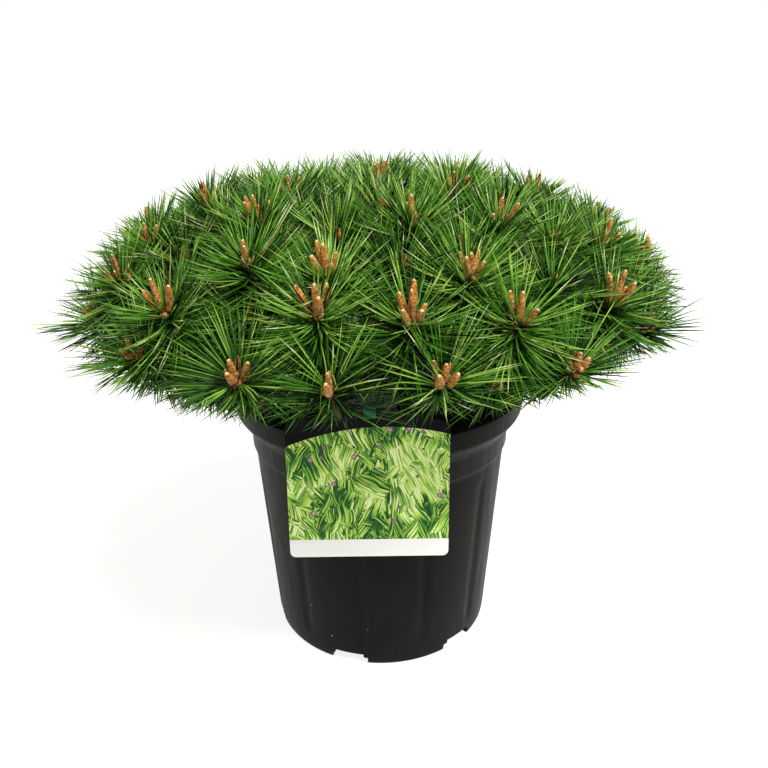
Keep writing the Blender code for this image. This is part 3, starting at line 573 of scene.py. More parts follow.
@dataclass
class StrandMesh:
    """Gathers batches of thin tapering tubes, each closed by a point, into one mesh."""

    name: str
    vertices: list = field(default_factory=list)
    quads: list = field(default_factory=list)
    triangles: list = field(default_factory=list)
    quad_tones: list = field(default_factory=list)
    triangle_tones: list = field(default_factory=list)
    total: int = 0

    def add(self, centres: np.ndarray, radii: np.ndarray, sides: int, tones: np.ndarray,
            reference: np.ndarray) -> None:
        """Add one batch of tubes.

        Args:
            centres: Middle points, (tubes, stations, 3). The last station is the point.
            radii: Radii, (tubes, stations - 1, sides or 1).
            sides: Sides of each tube.
            tones: Material numbers, (tubes, stations - 1, sides or 1). The last row is the
                point's.
            reference: A vector across each tube, (tubes, 3), from which its sides are counted.
        """
        count, stations = centres.shape[:2]
        rings = stations - 1
        forward = normalised(np.gradient(centres, axis=1)[:, :rings])
        first = normalised(np.cross(forward, reference[:, None, :]))
        second = np.cross(forward, first)
        angles = 2.0 * math.pi * np.arange(sides) / sides
        spokes = (first[:, :, None, :] * np.cos(angles)[None, None, :, None]
                  + second[:, :, None, :] * np.sin(angles)[None, None, :, None])
        rim = centres[:, :rings, None, :] + spokes * np.broadcast_to(radii, (count, rings, sides))[..., None]
        tips = centres[:, -1:, :]
        points = np.concatenate([rim.reshape(count, rings * sides, 3), tips], axis=1)
        per_tube = rings * sides + 1
        base = self.total + per_tube * np.arange(count)
        ring_of, side_of = np.meshgrid(np.arange(rings - 1), np.arange(sides), indexing="ij")
        after = (side_of + 1) % sides
        corners = np.stack([ring_of * sides + side_of, ring_of * sides + after,
                            (ring_of + 1) * sides + after, (ring_of + 1) * sides + side_of], axis=-1)
        quads = corners.reshape(1, -1, 4) + base[:, None, None]
        last = (rings - 1) * sides
        side = np.arange(sides)
        caps = np.stack([last + side, last + (side + 1) % sides, np.full(sides, rings * sides)], axis=-1)
        triangles = caps[None] + base[:, None, None]
        full_tones = np.broadcast_to(tones, (count, rings, sides))
        self.vertices.append(points.reshape(-1, 3))
        self.quads.append(quads.reshape(-1, 4))
        self.triangles.append(triangles.reshape(-1, 3))
        self.quad_tones.append(full_tones[:, :-1].reshape(-1))
        self.triangle_tones.append(full_tones[:, -1].reshape(-1))
        self.total += per_tube * count

    def build(self) -> bpy.types.Mesh:
        """Make the mesh, smooth shaded, with its material numbers."""
        vertices = np.concatenate(self.vertices)
        quads = np.concatenate(self.quads)
        triangles = np.concatenate(self.triangles)
        mesh = bpy.data.meshes.new(self.name)
        mesh.vertices.add(len(vertices))
        mesh.vertices.foreach_set("co", vertices.astype(np.float32).ravel())
        loops = np.concatenate([quads.ravel(), triangles.ravel()]).astype(np.int32)
        mesh.loops.add(len(loops))
        mesh.loops.foreach_set("vertex_index", loops)
        starts = np.concatenate([4 * np.arange(len(quads)), 4 * len(quads) + 3 * np.arange(len(triangles))])
        mesh.polygons.add(len(starts))
        mesh.polygons.foreach_set("loop_start", starts.astype(np.int32))
        tones = np.concatenate(self.quad_tones + self.triangle_tones).astype(np.int32)
        mesh.polygons.foreach_set("material_index", tones)
        mesh.polygons.foreach_set("use_smooth", np.ones(len(starts), dtype=bool))
        mesh.update(calc_edges=True)
        mesh.validate()
        return mesh


def loft(rows: list[list[Vector]], closed_round: bool) -> bmesh.types.BMesh:
    """Join rows of points into one skin.

    Args:
        rows: Rows of points, all of one length.
        closed_round: Whether each row closes on itself.

    Returns:
        The skin.
    """
    bm = bmesh.new()
    made = [[bm.verts.new(point) for point in row] for row in rows]
    width = len(rows[0])
    for lower, upper in zip(made, made[1:]):
        for index in range(width if closed_round else width - 1):
            after = (index + 1) % width
            bm.faces.new((lower[index], lower[after], upper[after], upper[index]))
    return bm


def finish_bmesh(bm: bmesh.types.BMesh, name: str, smooth_angle_deg: float) -> bpy.types.Mesh:
    """Turn a skin into a mesh with outward faces and smooth shading between sharp edges.

    Args:
        bm: The skin, which is freed.
        name: The mesh's name.
        smooth_angle_deg: Edges sharper than this stay sharp.

    Returns:
        The mesh.
    """
    bmesh.ops.recalc_face_normals(bm, faces=bm.faces)
    mesh = bpy.data.meshes.new(name)
    bm.to_mesh(mesh)
    bm.free()
    mesh.shade_smooth()
    mesh.set_sharp_from_angle(angle=math.radians(smooth_angle_deg))
    return mesh


# ---------------------------------------------------------------------------------------------
# Pot, soil and card
# ---------------------------------------------------------------------------------------------


@dataclass
class NurseryPot:
    """The round nursery pot: collar, shoulder, band, fluted body and notched foot."""

    wall: float = 0.0022
    segments: int = 240
    rim_rounding: float = 0.0009
    collar_height: float = 0.017
    collar_draft: float = 0.0005
    shoulder_height: float = 0.018
    band_radius: float = 0.1272
    band_height: float = 0.018
    band_draft: float = 0.0006
    body_top_radius: float = 0.1242
    body_step_height: float = 0.003
    foot_radius: float = 0.1106
    foot_rounding: float = 0.004
    floor_thickness: float = 0.0025
    flute_count: int = 12
    flute_first_heading: float = -70.0
    flute_depth: float = 0.0016
    flute_half_width: float = 0.0068
    flute_top: float = 0.186
    flute_bottom: float = 0.022
    flute_fade: float = 0.012
    notch_count: int = 6
    notch_first_heading: float = -17.0
    notch_width: float = 0.037
    notch_height: float = 0.012
    notch_depth: float = 0.014
    notch_corner: float = 0.004

    @property
    def body_top_z(self) -> float:
        """The height at which the straight body starts."""
        return POT_HEIGHT - self.collar_height - self.shoulder_height - self.band_height \
            - self.body_step_height

    def body_radius(self, height: float) -> float:
        """The outer radius of the straight body at a height."""
        return self.foot_radius + (self.body_top_radius - self.foot_radius) * height / self.body_top_z

    def outer_profile(self) -> list[tuple[float, float]]:
        """The outer side as (radius, height) from the rim to the underside's edge."""
        profile = []
        for step in range(5):
            angle = math.radians(90.0 * step / 4)
            profile.append((RIM_RADIUS - self.rim_rounding * (1.0 - math.sin(angle)),
                            POT_HEIGHT - self.rim_rounding * (1.0 - math.cos(angle))))
        collar_foot = POT_HEIGHT - self.collar_height
        collar_radius = RIM_RADIUS - self.collar_draft
        profile.append((0.5 * (RIM_RADIUS + collar_radius), 0.5 * (POT_HEIGHT + collar_foot)))
        profile.append((collar_radius, collar_foot + 0.0012))
        steps = 9
        for step in range(steps + 1):
            share = step / steps
            ease = share * share * (3.0 - 2.0 * share)
            inward = 0.5 * (share + ease)
            profile.append((collar_radius + (self.band_radius - collar_radius) * inward,
                            collar_foot - self.shoulder_height * share))
        band_foot = collar_foot - self.shoulder_height - self.band_height
        band_foot_radius = self.band_radius - self.band_draft
        profile.append((band_foot_radius, band_foot + 0.0008))
        profile.append((band_foot_radius - 0.0004, band_foot))
        profile.append((self.body_top_radius + 0.0002, self.body_top_z + 0.0004))
        profile.append((self.body_radius(self.body_top_z), self.body_top_z))
        rows = 44
        for row in range(1, rows):
            height = self.body_top_z + (self.foot_rounding - self.body_top_z) * row / rows
            profile.append((self.body_radius(height), height))
        for step in range(6):
            angle = math.radians(90.0 * step / 5)
            profile.append((self.foot_radius - self.foot_rounding * (1.0 - math.cos(angle)),
                            self.foot_rounding * (1.0 - math.sin(angle))))
        return profile

    def inner_profile(self) -> list[tuple[float, float]]:
        """The inner side as (radius, height) from the floor up to the rim."""
        collar_foot = POT_HEIGHT - self.collar_height
        band_top = collar_foot - self.shoulder_height
        band_foot = band_top - self.band_height
        profile = [(0.03, self.floor_thickness), (self.foot_radius - self.foot_rounding - self.wall,
                                                  self.floor_thickness)]
        for height, radius in ((self.floor_thickness + self.foot_rounding,
                                self.body_radius(self.foot_rounding) - self.wall),
                               (self.body_top_z, self.body_top_radius - self.wall),
                               (band_foot, self.band_radius - self.band_draft - self.wall),
                               (band_top, self.band_radius - self.wall),
                               (collar_foot, RIM_RADIUS - self.collar_draft - self.wall)):
            profile.append((radius, height))
        for step in range(4):
            angle = math.radians(90.0 * step / 3)
            profile.append((RIM_RADIUS - self.wall + 0.0005 * (1.0 - math.cos(angle)),
                            POT_HEIGHT - 0.0005 * (1.0 - math.sin(angle))))
        return profile

    def flute(self, radius: float, height: float, heading: float) -> float:
        """How far the flutes press the wall in at one place."""
        if not self.flute_bottom < height < self.flute_top or radius < self.body_radius(height) - 0.001:
            return 0.0
        spacing = 360.0 / self.flute_count
        offset = (heading - self.flute_first_heading + spacing / 2.0) % spacing - spacing / 2.0
        across = abs(math.radians(offset)) * radius / self.flute_half_width
        ends = min(1.0, (self.flute_top - height) / self.flute_fade,
                   (height - self.flute_bottom) / self.flute_fade)
        if across >= 1.0 or ends <= 0.0:
            return 0.0
        groove = (0.5 + 0.5 * math.cos(math.pi * across)) ** 0.6
        return self.flute_depth * groove * math.sqrt(ends)

    def notch_cutter(self, heading: float) -> bpy.types.Object:
        """One rounded block that cuts a drainage notch out of the foot.

        Args:
            heading: Where the notch is.

        Returns:
            The cutter.
        """
        bm = bmesh.new()
        bmesh.ops.create_cube(bm, size=1.0)
        size = Matrix.Diagonal((self.notch_width, 2.0 * self.notch_depth, 2.0 * self.notch_height, 1.0))
        bmesh.ops.transform(bm, matrix=size, verts=bm.verts)
        corners = [edge for edge in bm.edges
                   if abs(edge.verts[0].co.y - edge.verts[1].co.y) > self.notch_depth
                   and edge.verts[0].co.z > 0.0]
        bmesh.ops.bevel(bm, geom=corners, offset=self.notch_corner, segments=5, affect="EDGES")
        turn = Matrix.Rotation(math.radians(heading), 4, "Z")
        shift = Matrix.Translation(heading_vector(heading) * self.foot_radius)
        bmesh.ops.transform(bm, matrix=shift @ turn, verts=bm.verts)
        mesh = bpy.data.meshes.new("notch_cutter")
        bm.to_mesh(mesh)
        bm.free()
        return wrap_object("notch_cutter", mesh, [])

    def build(self, plastic: bpy.types.Material) -> bpy.types.Object:
        """Make the pot.

        Args:
            plastic: Its material.

        Returns:
            The piece.
        """
        profile = self.inner_profile() + self.outer_profile() + [(0.03, 0.0)]
        rows = []
        for radius, height in profile:
            row = []
            for index in range(self.segments):
                heading = 360.0 * index / self.segments - 180.0
                pressed = radius - self.flute(radius, height, heading)
                point = heading_vector(heading) * pressed
                row.append(Vector((point.x, point.y, height)))
            rows.append(row)
        bm = loft(rows, True)
        bm.verts.ensure_lookup_table()
        bm.faces.new([bm.verts[index] for index in range(self.segments)])
        last = len(bm.verts) - self.segments
        bm.faces.new([bm.verts[last + index] for index in range(self.segments)])
        pot = wrap_object("pot_shell", finish_bmesh(bm, "pot_shell", 40.0), [plastic])
        cutters = []
        for index in range(self.notch_count):
            cutter = self.notch_cutter(self.notch_first_heading + 360.0 * index / self.notch_count)
            cutters.append(cutter)
            modifier = pot.modifiers.new("notch", "BOOLEAN")
            modifier.operation = "DIFFERENCE"
            modifier.object = cutter
            modifier.solver = "EXACT"
        depsgraph = bpy.context.evaluated_depsgraph_get()
        mesh = bpy.data.meshes.new_from_object(pot.evaluated_get(depsgraph))
        pot.modifiers.clear()
        pot.data = mesh
        for cutter in cutters:
            bpy.data.objects.remove(cutter)
        mesh.shade_smooth()
        mesh.set_sharp_from_angle(angle=math.radians(40.0))
        return dress(pot, ["pot"])


@dataclass
class SoilFill:
    """The potting mix: a rough, slightly mounded top with loose crumbs, down to the floor."""

    wall_gap: float = 0.0026
    rings: int = 46
    segments: int = 150
    roughness: float = 0.0016
    crumb_count: int = 520
    seed: int = 5

    def top_height(self, x: float, y: float) -> float:
        """The height of the rough top at a place."""
        level = math.hypot(x, y)
        share = min(1.0, max(0.0, (level - 0.035) / 0.095))
        even = SOIL_MIDDLE_Z + (SOIL_EDGE_Z - SOIL_MIDDLE_Z) * share
        grain = noise.fractal(Vector((x, y, 0.0)) * per_metre(9.0), 0.8, 2.2, 4)
        return even - self.roughness + self.roughness * grain

    def build(self, pot: NurseryPot, peat: bpy.types.Material) -> bpy.types.Object:
        """Make the soil.

        Args:
            pot: The pot that holds it.
            peat: Its material.

        Returns:
            The piece.
        """
        edge = RIM_RADIUS - self.wall_gap - 0.0095
        rows = []
        for ring in range(1, self.rings + 1):
            radius = edge * ring / self.rings
            row = []
            for index in range(self.segments):
                point = heading_vector(360.0 * index / self.segments) * radius
                row.append(Vector((point.x, point.y, self.top_height(point.x, point.y))))
            rows.append(row)
        band_top = POT_HEIGHT - pot.collar_height - pot.shoulder_height
        foot = pot.floor_thickness + GAP
        for radius, height in ((pot.band_radius - self.wall_gap, band_top),
                               (pot.body_top_radius - self.wall_gap, pot.body_top_z),
                               (pot.body_radius(0.010) - self.wall_gap, foot + 0.010),
                               (pot.foot_radius - 0.010 - self.wall_gap, foot)):
            row = []
            for index in range(self.segments):
                point = heading_vector(360.0 * index / self.segments) * radius
                row.append(Vector((point.x, point.y, height)))
            rows.append(row)
        bm = loft(rows, True)
        bm.verts.ensure_lookup_table()
        bm.faces.new([bm.verts[index] for index in range(self.segments)])
        last = len(bm.verts) - self.segments
        bm.faces.new([bm.verts[last + index] for index in range(self.segments)])
        rng = random.Random(self.seed)
        for _ in range(self.crumb_count):
            radius = (edge - 0.006) * math.sqrt(rng.random())
            point = heading_vector(rng.uniform(0.0, 360.0)) * radius
            size = rng.uniform(0.0008, 0.0032)
            height = self.top_height(point.x, point.y) + 0.3 * size
            turn = Matrix.Rotation(rng.uniform(0.0, math.tau), 4, heading_vector(rng.uniform(0.0, 360.0), 40.0))
            squash = Matrix.Diagonal((size, size * rng.uniform(0.5, 0.9), size * rng.uniform(0.35, 0.7), 1.0))
            place = Matrix.Translation((point.x, point.y, height)) @ turn @ squash
            bmesh.ops.create_icosphere(bm, subdivisions=1, radius=1.0, matrix=place)
        soil = wrap_object("soil_surface", finish_bmesh(bm, "soil_surface", 50.0), [peat])
        return dress(soil, ["soil"])


@dataclass
class LabelCard:
    """The label card: one stiff strip hung over the rim by its bend, its tail on the soil."""

    thickness: float = 0.0008
    middle_x: float = -0.010
    width: float = 0.134
    corner: float = 0.005
    drop: float = 0.102
    shoulder_z: float = 0.014
    neck_width: float = 0.044
    neck_z: float = 0.030
    top_z: float = 0.038
    tilt: float = math.radians(5.0)
    bend_radius: float = 0.0042
    tail_width: float = 0.016
    columns: int = 12

    def plane_y(self, height: float) -> float:
        """The Y of the card's middle plane at a height."""
        return -(RIM_RADIUS + GAP + 0.5 * self.thickness) + (height - POT_HEIGHT) * math.tan(self.tilt)

    def stations(self) -> list[tuple[float, float, float, bool]]:
        """The card along its length: (y, z, half width, whether the print reaches here)."""
        half = 0.5 * self.width
        neck = 0.5 * self.neck_width
        bottom = POT_HEIGHT - self.drop
        rows = []
        for step in range(9):
            angle = math.radians(90.0 * step / 8)
            height = bottom + self.corner * (1.0 - math.cos(angle))
            rows.append((self.plane_y(height), height, half - self.corner * (1.0 - math.sin(angle)), True))
        for step in range(1, 13):
            height = bottom + self.corner + (self.drop - self.corner + self.shoulder_z) * step / 12
            rows.append((self.plane_y(height), height, half, True))
        for step in range(1, 11):
            share = step / 10
            height = POT_HEIGHT + self.shoulder_z + (self.neck_z - self.shoulder_z) * share
            ease = share * share * (3.0 - 2.0 * share)
            rows.append((self.plane_y(height), height, half + (neck - half) * ease, True))
        crest = POT_HEIGHT + self.top_z
        front_y = self.plane_y(crest)
        for step in range(15):
            angle = math.pi * step / 14
            rows.append((front_y + self.bend_radius * (1.0 - math.cos(angle)),
                         crest + self.bend_radius * math.sin(angle), neck, False))
        tail_y = front_y + 2.0 * self.bend_radius
        rows.append((tail_y, POT_HEIGHT, 0.5 * (neck + 0.5 * self.tail_width), False))
        rows.append((tail_y, SOIL_EDGE_Z + 2.0 * GAP + self.thickness, 0.5 * self.tail_width, False))
        return rows

    def build(self, print_finish: bpy.types.Material, stock: bpy.types.Material) -> bpy.types.Object:
        """Make the card.

        Args:
            print_finish: The printed front.
            stock: The unprinted back and edges.

        Returns:
            The piece.
        """
        rows = self.stations()
        path = [Vector((0.0, y, z)) for y, z, _, _ in rows]
        front, back = [], []
        for index, (y, z, half, _) in enumerate(rows):
            ahead = path[min(index + 1, len(path) - 1)] - path[max(index - 1, 0)]
            outward = Vector((0.0, -ahead.z, ahead.y)).normalized() * 0.5 * self.thickness
            line = []
            for column in range(self.columns + 1):
                x = self.middle_x - half + 2.0 * half * column / self.columns
                line.append(Vector((x, y, z)))
            front.append([point + outward for point in line])
            back.append([point - outward for point in line])
        bm = bmesh.new()
        front_verts = [[bm.verts.new(point) for point in row] for row in front]
        back_verts = [[bm.verts.new(point) for point in row] for row in back]
        for level in range(len(rows) - 1):
            for column in range(self.columns):
                face = bm.faces.new((front_verts[level][column], front_verts[level][column + 1],
                                     front_verts[level + 1][column + 1], front_verts[level + 1][column]))
                face.material_index = 0 if rows[level + 1][3] else 1
                face = bm.faces.new((back_verts[level][column], back_verts[level + 1][column],
                                     back_verts[level + 1][column + 1], back_verts[level][column + 1]))
                face.material_index = 1
            for column in (0, self.columns):
                face = bm.faces.new((front_verts[level][column], front_verts[level + 1][column],
                                     back_verts[level + 1][column], back_verts[level][column]))
                face.material_index = 1
        for level in (0, len(rows) - 1):
            for column in range(self.columns):
                face = bm.faces.new((front_verts[level][column], front_verts[level][column + 1],
                                     back_verts[level][column + 1], back_verts[level][column]))
                face.material_index = 1
        card = wrap_object("label_card_print", finish_bmesh(bm, "label_card_print", 35.0), [print_finish, stock])
        return dress(card, ["label_card"])


# ---------------------------------------------------------------------------------------------
# The plant's skeleton, by the same rule as its solids
# ---------------------------------------------------------------------------------------------


@dataclass
class Tier:
    """Shoots at one elevation on the dome: the headings seen from the front, and how many in all."""

    elevation: float
    seen: tuple
    count: int

    def headings(self) -> list[float]:
        """The headings seen from the front, then the hidden side filled evenly."""
        seen = [float(heading) for heading in self.seen]
        missing = self.count - len(seen)
        step = (seen[0] + 360.0 - seen[-1]) / (missing + 1)
        return seen + [seen[-1] + step * (index + 1) for index in range(missing)]


@dataclass
class Rod:
    """One straight, tapering stretch of wood."""

    start: Vector
    end: Vector
    start_radius: float
    end_radius: float


@dataclass
class Shoot:
    """One shoot: its foot on the twig, its tip near the dome, its place there and its mass."""

    foot: Vector
    tip: Vector
    place: Vector
    turn: float
    mass: str

    @property
    def axis(self) -> Vector:
        """The way the shoot points."""
        return (self.tip - self.foot).normalized()


@dataclass
class Reach:
    """Where needles may end: a round cushion from above, a skirt that rises outwards below.

    The crown hangs deeper towards -X and stands higher towards +X, by the slopes of its limits.
    Over the front of the rim most needles stop short, so that the inside of the pot shows between
    the few long ones.
    """

    radius: float = 0.316
    rise: float = 0.187
    roundness: float = 1.74
    middle_x: float = -0.005
    middle_z: float = POT_HEIGHT + 0.047
    top_fall: float = -0.008
    skirt_fall: float = 0.03
    skirt_z: float = POT_HEIGHT + 0.006
    skirt_slope: float = 0.53
    cuts: tuple = (0.35, 0.45, 0.55, 0.66, 0.72, 0.78, 0.84, 0.90, 0.95, 1.0)
    proudest: float = 0.008
    top_shortfall: float = 0.028
    skirt_shortfall: float = 0.014
    front_shortfall: float = 0.070
    front_x: float = 0.005
    front_width: float = 0.075
    front_y: float = -0.06

    def holds(self, points: np.ndarray, shyness: np.ndarray) -> np.ndarray:
        """Which points lie inside the reach.

        Args:
            points: The points, (points, 3).
            shyness: How far short of it each stays, from none to one.

        Returns:
            True for each point inside.
        """
        level = np.hypot(points[:, 0] - self.middle_x, points[:, 1])
        slack = self.proudest - self.top_shortfall * shyness
        middle_z = self.middle_z - self.top_fall * points[:, 0]
        cushion = ((level / (self.radius + slack)) ** self.roundness
                   + (np.abs(points[:, 2] - middle_z) / (self.rise + slack)) ** self.roundness)
        front = np.exp(-((points[:, 0] - self.front_x) / self.front_width) ** 2) * (points[:, 1] < self.front_y)
        shortfall = self.skirt_shortfall + self.front_shortfall * front
        skirt = self.skirt_at(points) + shortfall * shyness - self.proudest
        return (cushion <= 1.0) & (points[:, 2] >= skirt)

    def skirt_at(self, points: np.ndarray) -> np.ndarray:
        """The height of the skirt under or over each of some points, (points, 3)."""
        level = np.hypot(points[:, 0] - self.middle_x, points[:, 1])
        return (self.skirt_z + self.skirt_fall * points[:, 0]
                + self.skirt_slope * np.maximum(0.0, level - RIM_RADIUS))


@dataclass
class Skeleton:
    """Trunk, boughs, stems and shoots, worked out from the same sizes as the solids."""

    crown_radius: float = 0.252
    crown_middle_z: float = POT_HEIGHT + 0.050
    crown_rise: float = 0.135
    squareness: float = 2.7
    elevation_wobble: float = 2.5
    heading_wobble: float = 2.0
    trunk_top_z: float = 0.345
    trunk_foot_radius: float = 0.0118
    trunk_top_radius: float = 0.0062
    trunk_lean_x: float = 0.007
    trunk_lean_y: float = 0.004
    trunk_flare: float = 0.55
    trunk_flare_height: float = 0.016
    trunk_lobes: int = 5
    trunk_lobe_share: float = 0.35
    bough_share: float = 0.54
    bough_rise_deg: float = 24.0
    bough_bend_share: float = 0.5
    bough_arch_share: float = 0.3
    bough_segments: int = 5
    lower_feet_z: tuple = (0.262, 0.281)
    upper_feet_z: tuple = (0.301, 0.317)
    stem_radius: float = 0.0030
    twig_radius: float = 0.0016
    twig_thinning: float = 0.80
    fork_share: float = 0.45
    fork_wobble: float = 0.003
    shoot_length: float = 0.042
    shoot_foot_radius: float = 0.0020
    shoot_lift: float = 0.72
    seed: int = 11
    lower_tiers: tuple = (Tier(16.0, (-70, -46, -22, -6, 9, 34, 59, 80), 16),
                          Tier(31.0, (-62, -40, -12, 4, 24, 47), 13))
    upper_tiers: tuple = (Tier(44.0, (-88, -68, -30, -8, 19, 60, 90), 12),
                          Tier(57.0, (-121, -84, -40, 12, 38, 100), 9))
    top_tiers: tuple = (Tier(71.0, (-58, 46, 110, 180), 4), Tier(87.0, (0,), 1))
    lower_masses: int = 10
    lower_first_heading: float = -90.0
    upper_masses: int = 6
    upper_first_heading: float = -100.0

    def __post_init__(self) -> None:
        """Work out every shoot, mass, bough and stem."""
        rng = random.Random(self.seed)
        self.shoots = self.ring(self.lower_tiers, self.lower_masses, self.lower_first_heading,
                                "foliage_low", rng)
        self.shoots += self.ring(self.upper_tiers, self.upper_masses, self.upper_first_heading,
                                 "foliage_high", rng)
        self.shoots += self.ring(self.top_tiers, 1, 0.0, "foliage_top", rng)
        self.masses: dict[str, list[Shoot]] = {}
        for shoot in self.shoots:
            self.masses.setdefault(shoot.mass, []).append(shoot)
        self.boughs: dict[str, list[Vector]] = {}
        self.wood: dict[str, list[Rod]] = {}
        feet = {"foliage_low": 0, "foliage_high": 0}
        for name in sorted(self.masses):
            shoots = self.masses[name]
            if name.startswith("foliage_top"):
                start = self.trunk_axis(self.trunk_top_z) + UP * GAP
                self.wood[name] = self.branch(start, self.stem_radius, shoots, rng)
                continue
            ring = name.rsplit("_", 1)[0]
            heights = self.lower_feet_z if ring == "foliage_low" else self.upper_feet_z
            foot = self.trunk_axis(heights[feet[ring] % len(heights)])
            feet[ring] += 1
            middle = sum((shoot.place for shoot in shoots), Vector()).normalized()
            path = self.bough_path(foot, self.dome_point(middle, self.bough_share), self.bough_segments)
            self.boughs[name.replace("foliage", "bough")] = path
            way = (path[-1] - path[-2]).normalized()
            start = path[-1] + way * GAP
            knee = start + way * 3.0 * self.stem_radius
            self.wood[name] = [Rod(path[-1] - way * GAP, knee, self.stem_radius, self.stem_radius)]
            self.wood[name] += self.branch(knee, self.stem_radius, shoots, rng)

    def trunk_axis(self, height: float) -> Vector:
        """The middle of the trunk at a height."""
        share = (height - SOIL_MIDDLE_Z) / (self.trunk_top_z - SOIL_MIDDLE_Z)
        return Vector((self.trunk_lean_x * share * share, self.trunk_lean_y * share, height))

    def trunk_radius(self, height: float, angle: float) -> float:
        """The trunk's radius at a height and an angle round it, with its root flare."""
        share = (height - SOIL_MIDDLE_Z) / (self.trunk_top_z - SOIL_MIDDLE_Z)
        taper = self.trunk_foot_radius + (self.trunk_top_radius - self.trunk_foot_radius) * share
        flare = self.trunk_flare * math.exp(-(height - SOIL_MIDDLE_Z) / self.trunk_flare_height)
        return taper * (1.0 + flare * (1.0 + self.trunk_lobe_share * math.cos(self.trunk_lobes * angle)))

    def dome_point(self, place: Vector, share: float = 1.0) -> Vector:
        """The point at a share of the way from the dome's middle to its surface.

        Args:
            place: A unit vector in the dome's own scale.
            share: How far out, where one is the surface.

        Returns:
            The point.
        """
        level = math.hypot(place.x, place.y)
        power = self.squareness
        stretch = share * (level ** power + abs(place.z) ** power) ** (-1.0 / power)
        return Vector((place.x * self.crown_radius * stretch, place.y * self.crown_radius * stretch,
                       place.z * self.crown_rise * stretch + self.crown_middle_z))

    def grow_shoot(self, heading: float, elevation: float, turn: float, mass: str) -> Shoot:
        """One shoot that stands on the dome and turns up towards the light."""
        place = heading_vector(heading, elevation)
        tip = self.dome_point(place)
        normal = Vector((place.x / self.crown_radius, place.y / self.crown_radius,
                         place.z / self.crown_rise)).normalized()
        steepness = math.degrees(math.asin(normal.z))
        axis = heading_vector(heading, 90.0 - (90.0 - steepness) * self.shoot_lift)
        return Shoot(tip - axis * self.shoot_length, tip, place, turn, mass)

    def ring(self, tiers: tuple, masses: int, first_heading: float, prefix: str,
             rng: random.Random) -> list[Shoot]:
        """The shoots of a ring of tiers, each given to the mass in whose sector it stands.

        Args:
            tiers: The ring's tiers.
            masses: How many masses share the ring.
            first_heading: Where the first mass starts.
            prefix: The masses' common name.
            rng: The source of the wobble.

        Returns:
            The shoots.
        """
        shoots = []
        sector = 360.0 / masses
        for tier in tiers:
            for heading in tier.headings():
                turn = (heading - first_heading) % 360.0
                mass = "%s_%02d" % (prefix, int(turn // sector) + 1)
                swung = heading + rng.uniform(-self.heading_wobble, self.heading_wobble)
                lifted = tier.elevation + rng.uniform(-self.elevation_wobble, self.elevation_wobble)
                shoots.append(self.grow_shoot(swung, lifted, turn, mass))
        return shoots

    def branch(self, start: Vector, radius: float, shoots: list[Shoot], rng: random.Random) -> list[Rod]:
        """The rods of a stem that halves its shoots at each fork until each has its own twig."""
        if len(shoots) == 1:
            return [Rod(start, shoots[0].foot, radius, self.shoot_foot_radius)]
        middle = sum((shoot.foot for shoot in shoots), Vector()) / len(shoots)
        fork = start.lerp(middle, self.fork_share)
        fork += Vector([rng.uniform(-self.fork_wobble, self.fork_wobble) for _ in range(3)])
        thinner = max(self.twig_radius, radius * self.twig_thinning)
        ordered = sorted(shoots, key=lambda shoot: shoot.turn)
        half = len(ordered) // 2
        rods = [Rod(start, fork, radius, thinner)]
        for group in (ordered[:half], ordered[half:]):
            rods += self.branch(fork, thinner, group, rng)
        return rods

    def bough_path(self, foot: Vector, tip: Vector, segments: int) -> list[Vector]:
        """The middle line of one bough, which rises off the trunk and levels out."""
        level = Vector((tip.x - foot.x, tip.y - foot.y, 0.0))
        rise = math.tan(math.radians(self.bough_rise_deg))
        bend = foot + level * self.bough_bend_share
        bend += UP * (self.bough_bend_share * level.length * rise + self.bough_arch_share * (tip.z - foot.z))
        path = []
        for step in range(segments + 1):
            share = step / segments
            path.append(foot.lerp(bend, share).lerp(bend.lerp(tip, share), share))
        return path


# ---------------------------------------------------------------------------------------------
# Bark, twigs, needles and candles
# ---------------------------------------------------------------------------------------------


